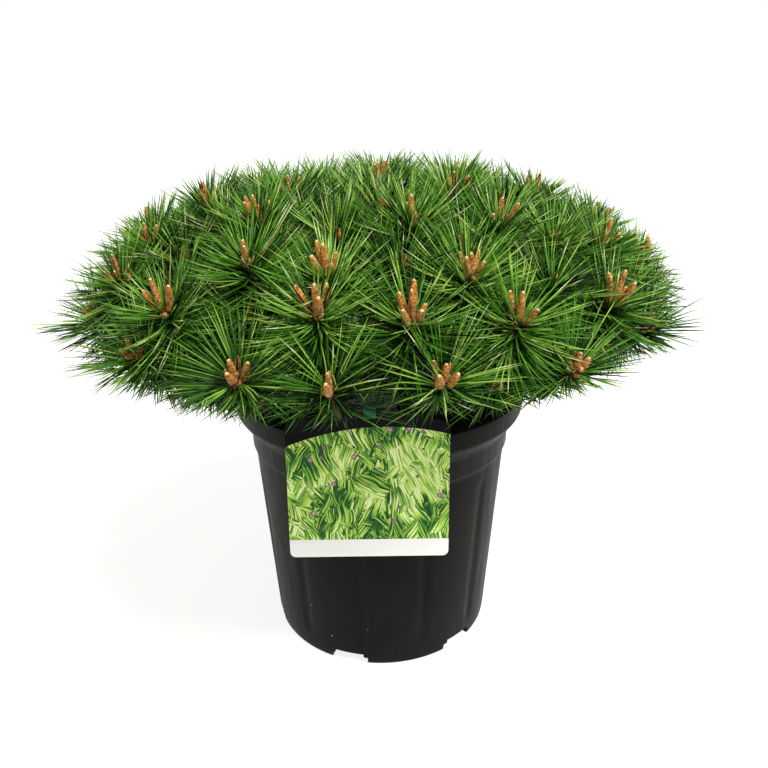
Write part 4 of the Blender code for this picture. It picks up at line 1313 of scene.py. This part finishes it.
@dataclass
class Bark:
    """The trunk and boughs as skins with the bark's relief."""

    skeleton: Skeleton
    trunk_sides: int = 56
    trunk_rings: int = 110
    bough_sides: int = 22
    bough_rings: int = 64
    bough_foot_radius: float = 0.0046
    bough_tip_radius: float = 0.0032
    plate_mm: float = 4.5
    relief: float = 0.0007

    def relief_at(self, point: Vector, along: float) -> float:
        """How far the bark's plates stand out at a place.

        Args:
            point: The place on the smooth limb.
            along: How far along the limb it lies, which stretches the plates lengthwise.

        Returns:
            The height of the relief.
        """
        spot = Vector((point.x, point.y, 0.5 * point.z + 0.2 * along)) * per_metre(self.plate_mm)
        distances, _ = noise.voronoi(spot)
        plate = min(1.0, 2.2 * (distances[1] - distances[0]))
        return self.relief * (plate - 0.6 + 0.35 * noise.noise(spot * 3.1))

    def tube(self, path: list[Vector], radii: list, sides: int) -> bmesh.types.BMesh:
        """A skin round a path.

        Args:
            path: Middle points.
            radii: One function of the angle for each point, giving the radius there.
            sides: How many points go round.

        Returns:
            The skin, closed at both ends.
        """
        rows = []
        along = 0.0
        for index, middle in enumerate(path):
            ahead = (path[min(index + 1, len(path) - 1)] - path[max(index - 1, 0)]).normalized()
            if index:
                along += (middle - path[index - 1]).length
            first = ahead.cross(Vector((0.31, 0.27, -0.11))).normalized()
            second = ahead.cross(first)
            if abs(ahead.z) > 0.9:
                first, second = Vector((1.0, 0.0, 0.0)), Vector((0.0, 1.0, 0.0))
            row = []
            for side in range(sides):
                angle = math.tau * side / sides
                spoke = first * math.cos(angle) + second * math.sin(angle)
                smooth = middle + spoke * radii[index](angle)
                row.append(smooth + spoke * self.relief_at(smooth, along))
            rows.append(row)
        bm = loft(rows, True)
        bm.verts.ensure_lookup_table()
        bm.faces.new([bm.verts[index] for index in range(sides)])
        last = len(bm.verts) - sides
        bm.faces.new([bm.verts[last + index] for index in range(sides)])
        return bm

    def build_trunk(self, material: bpy.types.Material) -> bpy.types.Object:
        """Make the trunk."""
        path, radii = [], []
        for ring in range(self.trunk_rings + 1):
            share = (ring / self.trunk_rings) ** 1.15
            height = SOIL_MIDDLE_Z + (self.skeleton.trunk_top_z - SOIL_MIDDLE_Z) * share
            if ring == 0:
                height = SOIL_MIDDLE_Z - 0.002
            path.append(self.skeleton.trunk_axis(height))
            shrink = 1.0 if ring < self.trunk_rings - 2 else (0.9, 0.72, 0.4)[ring - self.trunk_rings + 2]
            radii.append(lambda angle, z=max(height, SOIL_MIDDLE_Z), s=shrink:
                         s * self.skeleton.trunk_radius(z, angle))
        bm = self.tube(path, radii, self.trunk_sides)
        trunk = wrap_object("trunk_bark", finish_bmesh(bm, "trunk_bark", 60.0), [material])
        return dress(trunk, ["trunk"])

    def build_boughs(self, material: bpy.types.Material) -> bpy.types.Object:
        """Make all the boughs, joined."""
        joined = bmesh.new()
        for coarse in self.skeleton.boughs.values():
            path = []
            spans = len(coarse) - 1
            foot, tip = coarse[0], coarse[-1]
            path = self.skeleton.bough_path(foot, tip, self.bough_rings)
            radii = []
            for ring in range(self.bough_rings + 1):
                share = ring / self.bough_rings
                radius = self.bough_foot_radius + (self.bough_tip_radius - self.bough_foot_radius) * share
                swell = 1.0 + 0.35 * math.exp(-share * spans * 2.2)
                radii.append(lambda angle, r=radius * swell: r)
            bm = self.tube(path, radii, self.bough_sides)
            mesh = bpy.data.meshes.new("bough")
            bm.to_mesh(mesh)
            bm.free()
            joined.from_mesh(mesh)
            bpy.data.meshes.remove(mesh)
        boughs = wrap_object("boughs_bark", finish_bmesh(joined, "boughs_bark", 60.0), [material])
        return dress(boughs, sorted(self.skeleton.boughs))


@dataclass
class SideShoots:
    """Finer shoots that fill the dome between those of the source, down under its edge."""

    skeleton: Skeleton
    candidates: int = 640
    lowest_elevation: float = 3.0
    room: float = 0.038
    share_low: float = 0.78
    share_high: float = 0.98
    low_share: float = 0.74
    low_below: float = 14.0
    clearance: float = 0.020
    length: float = 0.034
    outward: float = 0.35
    jitter: float = 0.006
    seed: int = 23

    def build(self) -> list[Shoot]:
        """Work out the side shoots.

        Returns:
            The shoots, each with the mass whose space its tip lies in.
        """
        rng = random.Random(self.seed)
        bone = self.skeleton
        reach = Reach()
        taken = [shoot.tip for shoot in bone.shoots]
        made = []
        low = math.sin(math.radians(self.lowest_elevation))
        for index in range(self.candidates):
            sine = 1.0 - (1.0 - low) * (index + 0.5) / self.candidates
            elevation = math.degrees(math.asin(sine))
            heading = math.degrees(GOLDEN_ANGLE * index) % 360.0
            place = heading_vector(heading, elevation)
            lowest_share = self.low_share if elevation < self.low_below else self.share_low
            tip = bone.dome_point(place, rng.uniform(lowest_share, self.share_high))
            tip += Vector([rng.uniform(-self.jitter, self.jitter) for _ in range(3)])
            if min((tip - other).length for other in taken) < self.room:
                continue
            if tip.z < float(reach.skirt_at(np.array([tip]))[0]) + self.clearance:
                continue
            nearest = max(bone.shoots, key=lambda shoot: shoot.place.dot(place))
            normal = Vector((place.x / bone.crown_radius, place.y / bone.crown_radius,
                             place.z / bone.crown_rise)).normalized()
            steepness = math.degrees(math.asin(normal.z))
            axis = heading_vector(heading, 90.0 - (90.0 - steepness) * bone.shoot_lift)
            away = (tip - nearest.tip).normalized()
            axis = (axis + away * self.outward).normalized()
            taken.append(tip)
            made.append(Shoot(tip - axis * self.length, tip, place, nearest.turn, nearest.mass))
        return made


@dataclass
class Wood:
    """The twigs: the masses' own stems and forks, and the finer twigs of the side shoots."""

    skeleton: Skeleton
    side_shoots: list
    sides: int = 6
    seed: int = 31

    def curved(self, start: Vector, end: Vector, sag: Vector) -> list[Vector]:
        """Points along a gentle curve between two places."""
        middle = start.lerp(end, 0.5) + sag
        return [start, start.lerp(middle, 0.5).lerp(middle.lerp(end, 0.5), 0.3),
                start.lerp(middle, 0.5).lerp(middle.lerp(end, 0.5), 0.7), end]

    def twig_of(self, shoot: Shoot) -> Rod:
        """The finer twig that carries a side shoot, from the nearest shoot or fork of its mass.

        Args:
            shoot: The side shoot.

        Returns:
            The twig.
        """
        starts = [main.foot.lerp(main.tip, 0.15) for main in self.skeleton.masses[shoot.mass]]
        starts += [rod.start.lerp(rod.end, 0.6) for rod in self.skeleton.wood[shoot.mass]]
        start = min(starts, key=lambda point: (point - shoot.foot).length + 0.6 * abs(point.z - shoot.foot.z))
        return Rod(start, shoot.foot, 0.0013, 0.0015)

    def build(self, material: bpy.types.Material) -> bpy.types.Object:
        """Make all the twigs, joined.

        Args:
            material: Their bark.

        Returns:
            The piece.
        """
        rng = random.Random(self.seed)
        batch = StrandMesh("twigs")
        rods = [rod for name in sorted(self.skeleton.wood) for rod in self.skeleton.wood[name]]
        for shoot in self.skeleton.shoots:
            rods.append(Rod(shoot.foot, shoot.tip, self.skeleton.shoot_foot_radius, 0.0022))
        for shoot in self.side_shoots:
            rods.append(self.twig_of(shoot))
            rods.append(Rod(shoot.foot, shoot.tip, 0.0015, 0.0021))
        lines, widths = [], []
        for rod in rods:
            length = (rod.end - rod.start).length
            sag = Vector([rng.uniform(-0.04, 0.04) * length for _ in range(3)])
            if length < 0.02:
                sag *= 0.0
            points = self.curved(rod.start, rod.end, sag)
            way = (points[-1] - points[-2]).normalized()
            points.append(points[-1] + way * rod.end_radius)
            lines.append([tuple(point) for point in points])
            widths.append([rod.start_radius + (rod.end_radius - rod.start_radius) * share
                           for share in (0.0, 0.3, 0.7, 1.0)])
        centres = np.array(lines)
        radii = np.array(widths)[:, :, None]
        knuckles = 1.0 + 0.10 * np.random.default_rng(self.seed).uniform(-1.0, 1.0, (len(rods), 4, self.sides))
        reference = np.tile(np.array([[0.21, 0.17, 0.96]]), (len(rods), 1))
        batch.add(centres, radii * knuckles, self.sides, np.zeros((len(rods), 4, 1), dtype=int), reference)
        twigs = wrap_object("twigs", batch.build(), [material])
        return dress(twigs, sorted(self.skeleton.masses))


@dataclass
class Needles:
    """The needles: pairs that spiral up every shoot and thin out along the older twigs."""

    skeleton: Skeleton
    side_shoots: list
    main_pairs: int = 150
    side_pairs: int = 112
    old_pairs_per_metre: float = 760.0
    length: float = 0.060
    side_length: float = 0.054
    old_length: float = 0.042
    half_width: float = 0.00058
    open_foot: float = 106.0
    open_tip_low: float = 48.0
    open_tip_high: float = 34.0
    first_share: float = 0.10
    last_share: float = 0.99
    crowding: float = 0.55
    droop_low: float = -0.55
    droop_high: float = 0.25
    shyness_power: float = 1.2
    pair_split_deg: float = 5.0
    spray_pairs: int = 3
    # Share of needle ends stepped paler: partly the real paler tip, partly a painted glint
    pale_ends: float = 0.30
    # Per-shoot brightness: partly random, partly painted light on the main shoots at the dome's face and painted
    # shade on the side shoots set deeper inside
    main_shift: tuple = (-0.05, 0.40)
    side_shift: tuple = (-0.65, 0.05)
    box_room: float = 0.012
    masses_per_piece: int = 2
    seed: int = 47
    # sunny is painted light for the top of the crown; shaded is painted shade for its lower sides and inside
    sunny: tuple = (0.03, 0.12, 0.27, 0.36, 0.20, 0.01, 0.00, 0.01)
    shaded: tuple = (0.22, 0.34, 0.26, 0.11, 0.03, 0.00, 0.04, 0.00)
    # Colour chances for the needles along the twigs inside the crown: mostly NIGHT and DEEP, as painted shade
    # between the shoots
    old_in_shade: tuple = (0.74, 0.18, 0.02, 0.00, 0.00, 0.00, 0.05, 0.01)

    def height_share(self, height: float) -> float:
        """How high a place stands in the crown, from none at its foot to one near its top."""
        return min(1.0, max(0.0, (height - 0.315) / 0.11))

    def opening_at(self, tip: Vector) -> tuple[float, float]:
        """The needles' angles to a shoot at its foot and its tip: more upright high in the crown."""
        share = self.height_share(tip.z)
        return self.open_foot, self.open_tip_low + (self.open_tip_high - self.open_tip_low) * share

    def pairs(self, foot: np.ndarray, tip: np.ndarray, count: int, length: float, opening: tuple,
              shares: tuple, rng: np.random.Generator) -> tuple[np.ndarray, np.ndarray, np.ndarray]:
        """Needle pairs that spiral up one shoot.

        Args:
            foot: The shoot's foot.
            tip: Its tip.
            count: How many pairs.
            length: The needles' length.
            opening: Their angle to the shoot at its foot and at its tip, in degrees.
            shares: The first and last place along the shoot.
            rng: The source of the variety.

        Returns:
            Middle points (needles, 4, 3), a vector across each needle and each one's pair number.
        """
        axis = normalised(tip - foot)
        across = np.cross(axis, np.array([0.0, 0.0, 1.0]))
        if np.linalg.norm(across) < 1e-3:
            across = np.array([1.0, 0.0, 0.0])
        across = normalised(across)
        other = np.cross(axis, across)
        number = np.arange(count)
        share = (number + 0.5) / count
        along = shares[0] + (shares[1] - shares[0]) * share ** self.crowding
        angle = np.radians(opening[0] + (opening[1] - opening[0]) * share + rng.normal(0.0, 8.0, count))
        turn = rng.uniform(0.0, math.tau) + GOLDEN_ANGLE * number + rng.normal(0.0, 0.12, count)
        spoke = across * np.cos(turn)[:, None] + other * np.sin(turn)[:, None]
        way = axis * np.cos(angle)[:, None] + spoke * np.sin(angle)[:, None]
        sideways = normalised(np.cross(way, axis))
        split = np.tan(np.radians(self.pair_split_deg * rng.uniform(0.4, 1.6, count)))[:, None]
        ways = np.concatenate([normalised(way + sideways * split), normalised(way - sideways * split)])
        roots = np.tile(foot + (tip - foot) * along[:, None], (2, 1))
        sizes = np.tile(length * rng.uniform(0.84, 1.06, count), 2) * rng.uniform(0.96, 1.02, 2 * count)
        droop = self.droop_low + (self.droop_high - self.droop_low) * self.height_share(float(tip[2]))
        lift = axis * 0.30 + np.array([0.0, 0.0, droop])
        curl = (np.tile(0.10 + 0.90 * np.sin(angle), 2) * rng.uniform(0.3, 1.3, 2 * count))[:, None]
        ends = normalised(ways + lift * curl + rng.normal(0.0, 0.05, (2 * count, 3)))
        shares_along = np.array([0.0, 0.32, 0.68, 1.0])[None, :, None]
        centres = roots[:, None, :] + sizes[:, None, None] * (
            ways[:, None, :] * shares_along + 0.5 * (ends - ways)[:, None, :] * shares_along ** 2)
        return centres, np.tile(sideways, (2, 1)) + rng.normal(0.0, 0.3, (2 * count, 3)), np.tile(number, 2)

    def trimmed(self, centres: np.ndarray, rng: np.random.Generator) -> tuple[np.ndarray, np.ndarray]:
        """Shorten needles that end beyond the reach.

        Args:
            centres: Middle points (needles, 4, 3).
            rng: The source of each needle's shyness.

        Returns:
            The shortened needles, and which of them end inside the reach.
        """
        reach = Reach()
        shyness = rng.uniform(0.0, 1.0, len(centres)) ** self.shyness_power
        best = np.zeros(len(centres))
        for cut in reach.cuts:
            tips = centres[:, 0] + (centres[:, -1] - centres[:, 0]) * cut
            best = np.where(reach.holds(tips, shyness), cut, best)
        shortened = centres[:, :1] + (centres - centres[:, :1]) * best[:, None, None]
        return shortened, best > 0.0

    def is_clear(self, centres: np.ndarray) -> np.ndarray:
        """Which needles stay off the pot, the card, the trunk and inside the part's box.

        Args:
            centres: Middle points (needles, 4, 3).

        Returns:
            True for each needle that is clear.
        """
        middles = 0.5 * (centres[:, 1:] + centres[:, :-1])
        points = np.concatenate([centres, middles], axis=1)
        x, y, z = points[..., 0], points[..., 1], points[..., 2]
        level = np.hypot(x, y)
        pot = (z < POT_HEIGHT + 0.0012) & (level < RIM_RADIUS + 0.0012)
        card = LabelCard()
        top = POT_HEIGHT + card.top_z
        plane = -(RIM_RADIUS + GAP + 0.5 * card.thickness) + (np.minimum(z, top) - POT_HEIGHT) * math.tan(card.tilt)
        back = card.plane_y(top) + 2.0 * card.bend_radius + 0.002
        on_card = ((np.abs(x - card.middle_x) < 0.5 * card.width + 0.002) & (y > plane - 0.002) & (y < back)
                   & (z < top + card.bend_radius + 0.002))
        trunk = (level < 0.016) & (z < self.skeleton.trunk_top_z)
        low, high = np.array(CAD_BOX[0]) - self.box_room, np.array(CAD_BOX[1]) + self.box_room
        outside = np.any((points < low) | (points > high), axis=-1)
        return ~np.any(pot | on_card | trunk | outside, axis=1)

    def deal(self, pair_numbers: np.ndarray, weights: np.ndarray, rng: np.random.Generator) -> np.ndarray:
        """Deal each spray of needles one of the plain colours.

        Args:
            pair_numbers: Each needle's pair.
            weights: The chance of each colour.
            rng: The source of the choice.

        Returns:
            Each needle's colour number.
        """
        sprays = pair_numbers // self.spray_pairs
        choices = rng.choice(len(NeedleTone), size=int(sprays.max()) + 1, p=weights / weights.sum())
        return choices[sprays]

    def shaded_along(self, tones: np.ndarray, rng: np.random.Generator) -> np.ndarray:
        """Step each needle's colour along it: darker at its foot as painted shade, at times paler at its end,
        partly the real paler tip and partly a painted glint.

        Args:
            tones: Each needle's colour number.
            rng: The source of the choice.

        Returns:
            Colour numbers, (needles, 3).
        """
        green = tones <= NeedleTone.LIME.value
        # painted shade at each needle's foot; a painted glint at some ends
        foot = np.where(green, np.maximum(tones - 1, 0), tones)
        paler = green & (tones >= NeedleTone.MID.value) & (rng.random(len(tones)) < self.pale_ends)
        return np.stack([foot, tones, np.where(paler, tones + 1, tones)], axis=1)

    def weights_at(self, tip: Vector, shift: float) -> np.ndarray:
        """The chance of each colour on a shoot, as painted light: brighter towards the top of the crown, where
        light falls, and darker below as painted shade.

        Args:
            tip: The shoot's tip.
            shift: How much brighter than its place this shoot is: partly random, partly painted light for main
                shoots and painted shade for side shoots.

        Returns:
            The chances, in the order of NeedleTone.
        """
        light = min(1.0, max(0.0, self.height_share(tip.z) + shift))
        return np.array(self.shaded) * (1.0 - light) + np.array(self.sunny) * light

    def group_of(self, mass: str) -> str:
        """The piece that a mass's needles belong to."""
        ring, number = mass.replace("foliage_", "").rsplit("_", 1)
        return "needles_%s_%d" % (ring, (int(number) - 1) // self.masses_per_piece + 1)

    def build(self, materials: list, twigs: Wood) -> list[bpy.types.Object]:
        """Make the needles.

        Args:
            materials: One material for each colour.
            twigs: The wood, whose older stretches carry needles too.

        Returns:
            The pieces.
        """
        rng = np.random.default_rng(self.seed)
        batches: dict[str, StrandMesh] = {}
        nodes: dict[str, set] = {}
        jobs = []
        for shoot in self.skeleton.shoots:
            weights = self.weights_at(shoot.tip, rng.uniform(*self.main_shift))
            jobs.append((shoot.foot, shoot.tip, self.main_pairs, self.length, self.opening_at(shoot.tip),
                         (self.first_share, self.last_share), weights, shoot.mass))
        for shoot in self.side_shoots:
            weights = self.weights_at(shoot.tip, rng.uniform(*self.side_shift))
            jobs.append((shoot.foot, shoot.tip, self.side_pairs, self.side_length,
                         self.opening_at(shoot.tip), (self.first_share, self.last_share), weights, shoot.mass))
            # the needles along this twig take the dark colour chances of painted shade
            rod = twigs.twig_of(shoot)
            count = int(self.old_pairs_per_metre * (rod.end - rod.start).length)
            jobs.append((rod.start, rod.end, max(6, count), self.old_length, (80.0, 62.0), (0.15, 1.0),
                         np.array(self.old_in_shade), shoot.mass))
        # the needles along the masses' stems also take the dark colour chances of painted shade
        for name in sorted(self.skeleton.wood):
            for rod in self.skeleton.wood[name]:
                count = int(self.old_pairs_per_metre * (rod.end - rod.start).length)
                if count > 3:
                    jobs.append((rod.start, rod.end, count, self.old_length, (84.0, 66.0), (0.1, 1.0),
                                 np.array(self.old_in_shade), name))
        profile = self.half_width * np.array([0.75, 1.0, 0.86])
        for foot, tip, count, length, opening, shares, weights, mass in jobs:
            centres, across, numbers = self.pairs(np.array(foot), np.array(tip), count, length, opening,
                                                  shares, rng)
            tones = self.deal(numbers, weights, rng)
            centres, inside = self.trimmed(centres, rng)
            keep = inside & self.is_clear(centres)
            if not keep.any():
                continue
            group = self.group_of(mass)
            batch = batches.setdefault(group, StrandMesh(group))
            nodes.setdefault(group, set()).add(mass)
            kept = int(keep.sum())
            radii = np.tile(profile[None, :, None], (kept, 1, 1))
            steps = self.shaded_along(tones[keep], rng)
            batch.add(centres[keep], radii, 3, steps[:, :, None], across[keep])
        pieces = []
        for group in sorted(batches):
            piece = wrap_object(group, batches[group].build(), materials)
            pieces.append(dress(piece, sorted(nodes[group])))
        return pieces


@dataclass
class Candles:
    """The upright candles: groups of scaly new shoots at the tips, and smaller resting buds."""

    skeleton: Skeleton
    side_shoots: list
    length: float = 0.027
    radius: float = 0.0028
    lift: float = 0.55
    spread_deg: float = 19.0
    large_grid: tuple = (12, 23)
    small_grid: tuple = (8, 13)
    scale_height: float = 0.085
    seed: int = 61

    def outline(self, stations: int) -> tuple[np.ndarray, np.ndarray]:
        """A candle's outline: shares along it, and radius as a share of its thickness."""
        along = np.linspace(0.0, 1.0, stations)
        swell = np.interp(along, (0.0, 0.08, 0.25, 0.6, 0.86, 0.96, 1.0), (0.6, 0.95, 1.0, 0.88, 0.66, 0.40, 0.0))
        return along, swell

    def group(self, shoot: Shoot, count: int, size: float, rng: random.Random) -> list[tuple]:
        """One group of candles.

        Args:
            shoot: The shoot that bears it.
            count: How many candles.
            size: Their size as a share of the full one.
            rng: The source of the variety.

        Returns:
            For each candle its root, its way, its length and its radius.
        """
        upright = shoot.axis.lerp(UP, self.lift).normalized()
        side = upright.cross(UP)
        side = side.normalized() if side.length > 0.001 else Vector((1.0, 0.0, 0.0))
        first_turn = rng.uniform(0.0, math.tau)
        candles = []
        for index in range(count):
            turn = first_turn + math.tau * index / max(1, count - 1)
            spoke = Matrix.Rotation(turn, 3, upright) @ side
            spread = math.radians(self.spread_deg) * (0.2 if index == 0 else rng.uniform(0.6, 1.3))
            way = (upright * math.cos(spread) + spoke * math.sin(spread)).normalized()
            share = 1.0 if index == 0 else rng.uniform(0.55, 1.05)
            radius = self.radius * (0.82 + 0.18 * size) * rng.uniform(0.85, 1.12)
            root = shoot.tip - shoot.axis * 0.002 + spoke * (0.0 if index == 0 else 1.35 * radius)
            candles.append((root, way, self.length * size * share, radius))
        return candles

    def size_at(self, shoot: Shoot, rng: random.Random) -> float:
        """The size of a shoot's candles: largest half way up the crown, small at its foot.

        Args:
            shoot: The shoot.
            rng: The source of the variety.

        Returns:
            Their size as a share of the full one.
        """
        elevation = math.degrees(math.asin(shoot.place.z))
        if elevation < 22.0:
            return rng.uniform(0.55, 0.85)
        return rng.uniform(0.95, 1.1) if elevation < 38.0 else rng.uniform(0.70, 1.0)

    def add_scaly(self, batch: StrandMesh, candles: list, grid: tuple, chooser: np.random.Generator) -> None:
        """Add candles as tapering tubes whose rings and sides alternate into raised scales.

        Args:
            batch: The mesh that gathers them.
            candles: Each candle's root, way, length and radius.
            grid: How many sides and how many stations each gets.
            chooser: The source of each scale's tone.
        """
        sides, stations = grid
        along, swell = self.outline(stations)
        roots = np.array([tuple(candle[0]) for candle in candles])
        ways = np.array([tuple(candle[1]) for candle in candles])
        lengths = np.array([candle[2] for candle in candles])
        widths = np.array([candle[3] for candle in candles])
        centres = roots[:, None, :] + ways[:, None, :] * (along[None, :] * lengths[:, None])[..., None]
        rings = stations - 1
        ring, side = np.meshgrid(np.arange(rings), np.arange(sides), indexing="ij")
        scales = np.where((ring + side) % 2 == 0, self.scale_height, -0.5 * self.scale_height)
        radii = widths[:, None, None] * (swell[None, :rings, None] * (1.0 + scales[None]))
        tones = chooser.choice([CandleTone.SCALE.value, CandleTone.SCALE_EDGE.value, CandleTone.SCALE_DARK.value],
                               size=(len(candles), rings, sides), p=[0.52, 0.24, 0.24])
        tones[:, along[:rings] > 0.93] = CandleTone.TIP.value
        tones[:, along[:rings] < 0.16] = CandleTone.FOOT.value
        reference = np.tile(np.array([[0.93, 0.21, 0.31]]), (len(candles), 1))
        batch.add(centres, radii, sides, tones, reference)

    def build(self, materials: list) -> bpy.types.Object:
        """Make all the candles, joined.

        Args:
            materials: One material for each part of a candle.

        Returns:
            The piece.
        """
        rng = random.Random(self.seed)
        large, small = [], []
        for shoot in self.skeleton.shoots:
            size = self.size_at(shoot, rng)
            large += self.group(shoot, rng.choice((3, 4, 4, 5, 6)), size, rng)
            small += self.group(shoot, 3, 0.26, rng)
        for shoot in self.side_shoots:
            if shoot.place.z > 0.1:
                small += self.group(shoot, rng.choice((1, 2, 3)), rng.uniform(0.35, 0.75), rng)
        batch = StrandMesh("candles")
        chooser = np.random.default_rng(self.seed)
        self.add_scaly(batch, large, self.large_grid, chooser)
        self.add_scaly(batch, small, self.small_grid, chooser)
        piece = wrap_object("candles", batch.build(), materials)
        return dress(piece, sorted(self.skeleton.masses))


# ---------------------------------------------------------------------------------------------
# Studio
# ---------------------------------------------------------------------------------------------


@dataclass
class Studio:
    """The pale floor, the soft light and the camera at the photograph's viewing angle."""

    floor_radius: float = 40.0
    camera_place: tuple = (0.0, -0.680, 0.515)
    pitch_deg: float = 21.25
    yaw_deg: float = -0.40
    roll_deg: float = -0.54
    lens_mm: float = 34.5
    sensor_mm: float = 36.0
    sky_seen: float = 1.0
    sky_light: float = 0.44
    sun_strength: float = 4.1
    sun_spread_deg: float = 20.0
    sun_from: tuple = (0.42, -0.44, 1.0)

    def build_camera(self) -> None:
        """Make the camera and give it to the scene."""
        data = bpy.data.cameras.new("camera")
        data.lens = self.lens_mm
        data.sensor_width = self.sensor_mm
        data.clip_start = 0.01
        data.clip_end = 200.0
        camera = bpy.data.objects.new("camera", data)
        bpy.context.scene.collection.objects.link(camera)
        turn = (Matrix.Rotation(math.radians(self.yaw_deg), 4, "Z")
                @ Matrix.Rotation(math.radians(90.0 - self.pitch_deg), 4, "X")
                @ Matrix.Rotation(math.radians(self.roll_deg), 4, "Z"))
        camera.matrix_world = Matrix.Translation(self.camera_place) @ turn
        bpy.context.scene.camera = camera

    def build_floor(self) -> bpy.types.Object:
        """Make the floor."""
        bm = bmesh.new()
        bmesh.ops.create_circle(bm, cap_ends=True, segments=96, radius=self.floor_radius)
        mesh = bpy.data.meshes.new("studio_floor")
        bm.to_mesh(mesh)
        bm.free()
        floor = wrap_object("studio_floor", mesh, [OpalAcrylic().build()])
        return floor

    def build_light(self) -> None:
        """Make the white surroundings and the one broad, soft light."""
        world = bpy.data.worlds.new("studio")
        world.use_nodes = True
        tree = world.node_tree
        background = tree.nodes["Background"]
        background.inputs["Color"].default_value = linear("#ffffff")
        path = add_node(tree, "ShaderNodeLightPath")
        strength = add_node(tree, "ShaderNodeMapRange", {"To Min": self.sky_light, "To Max": self.sky_seen},
                            {"Value": path.outputs["Is Camera Ray"]})
        tree.links.new(strength.outputs[0], background.inputs["Strength"])
        bpy.context.scene.world = world
        data = bpy.data.lights.new("soft_key", "SUN")
        data.energy = self.sun_strength
        data.angle = math.radians(self.sun_spread_deg)
        sun = bpy.data.objects.new("soft_key", data)
        bpy.context.scene.collection.objects.link(sun)
        sun.rotation_mode = "QUATERNION"
        sun.rotation_quaternion = Vector(self.sun_from).to_track_quat("Z", "Y")

    def build(self) -> None:
        """Make everything that isn't the plant."""
        self.build_camera()
        self.build_floor()
        self.build_light()
        bpy.context.scene.view_settings.view_transform = "Standard"


def needle_finishes() -> list[bpy.types.Material]:
    """One material for each needle colour, in the order of NeedleTone."""
    # NIGHT and DEEP carry most of the painted shade dealt to inner and lower needles; LIME and PALE carry the
    # painted light at the crown's top and the painted glints at needle ends
    colours = {NeedleTone.NIGHT: "#071703", NeedleTone.DEEP: "#1e440d", NeedleTone.MID: "#3e7016",
               NeedleTone.FRESH: "#5f942e", NeedleTone.LIME: "#92b84c", NeedleTone.PALE: "#c6d598",
               NeedleTone.GREYED: "#566d44", NeedleTone.STRAW: "#968a50"}
    return [LivingSkin("waxy_needle_%s" % tone.name.lower(), colours[tone], 0.42).build()
            for tone in NeedleTone]


def candle_finishes() -> list[bpy.types.Material]:
    """One material for each part of a candle, in the order of CandleTone."""
    colours = {CandleTone.SCALE: "#b3722b", CandleTone.SCALE_EDGE: "#d09a50",
               CandleTone.SCALE_DARK: "#7c4c20", CandleTone.TIP: "#dcbd86", CandleTone.FOOT: "#3f2112"}
    return [LivingSkin("papery_candle_%s" % tone.name.lower(), colours[tone], 0.62, sheen=0.15, bump=0.3).build()
            for tone in CandleTone]


def keep_sizes() -> None:
    """Bring the view layer up to date."""
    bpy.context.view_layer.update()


def main() -> None:
    """Build the whole plant, its pot and the studio, in order."""
    logging.basicConfig(level=logging.INFO, format="%(message)s")
    Studio().build()
    pot = NurseryPot()
    pot.build(MouldedPolypropylene().build())
    SoilFill().build(pot, PeatMix().build())
    LabelCard().build(LaminatedPrint().build(), CardStock().build())
    skeleton = Skeleton()
    bark = PlatedBark().build()
    limbs = Bark(skeleton)
    limbs.build_trunk(bark)
    limbs.build_boughs(bark)
    side_shoots = SideShoots(skeleton).build()
    log.info("%d shoots and %d side shoots", len(skeleton.shoots), len(side_shoots))
    twigs = Wood(skeleton, side_shoots)
    twigs.build(LivingSkin("young_twig_bark", "#35271a", 0.8, bump=0.6).build())
    Needles(skeleton, side_shoots).build(needle_finishes(), twigs)
    Candles(skeleton, side_shoots).build(candle_finishes())
    keep_sizes()


if __name__ == "__main__":
    main()
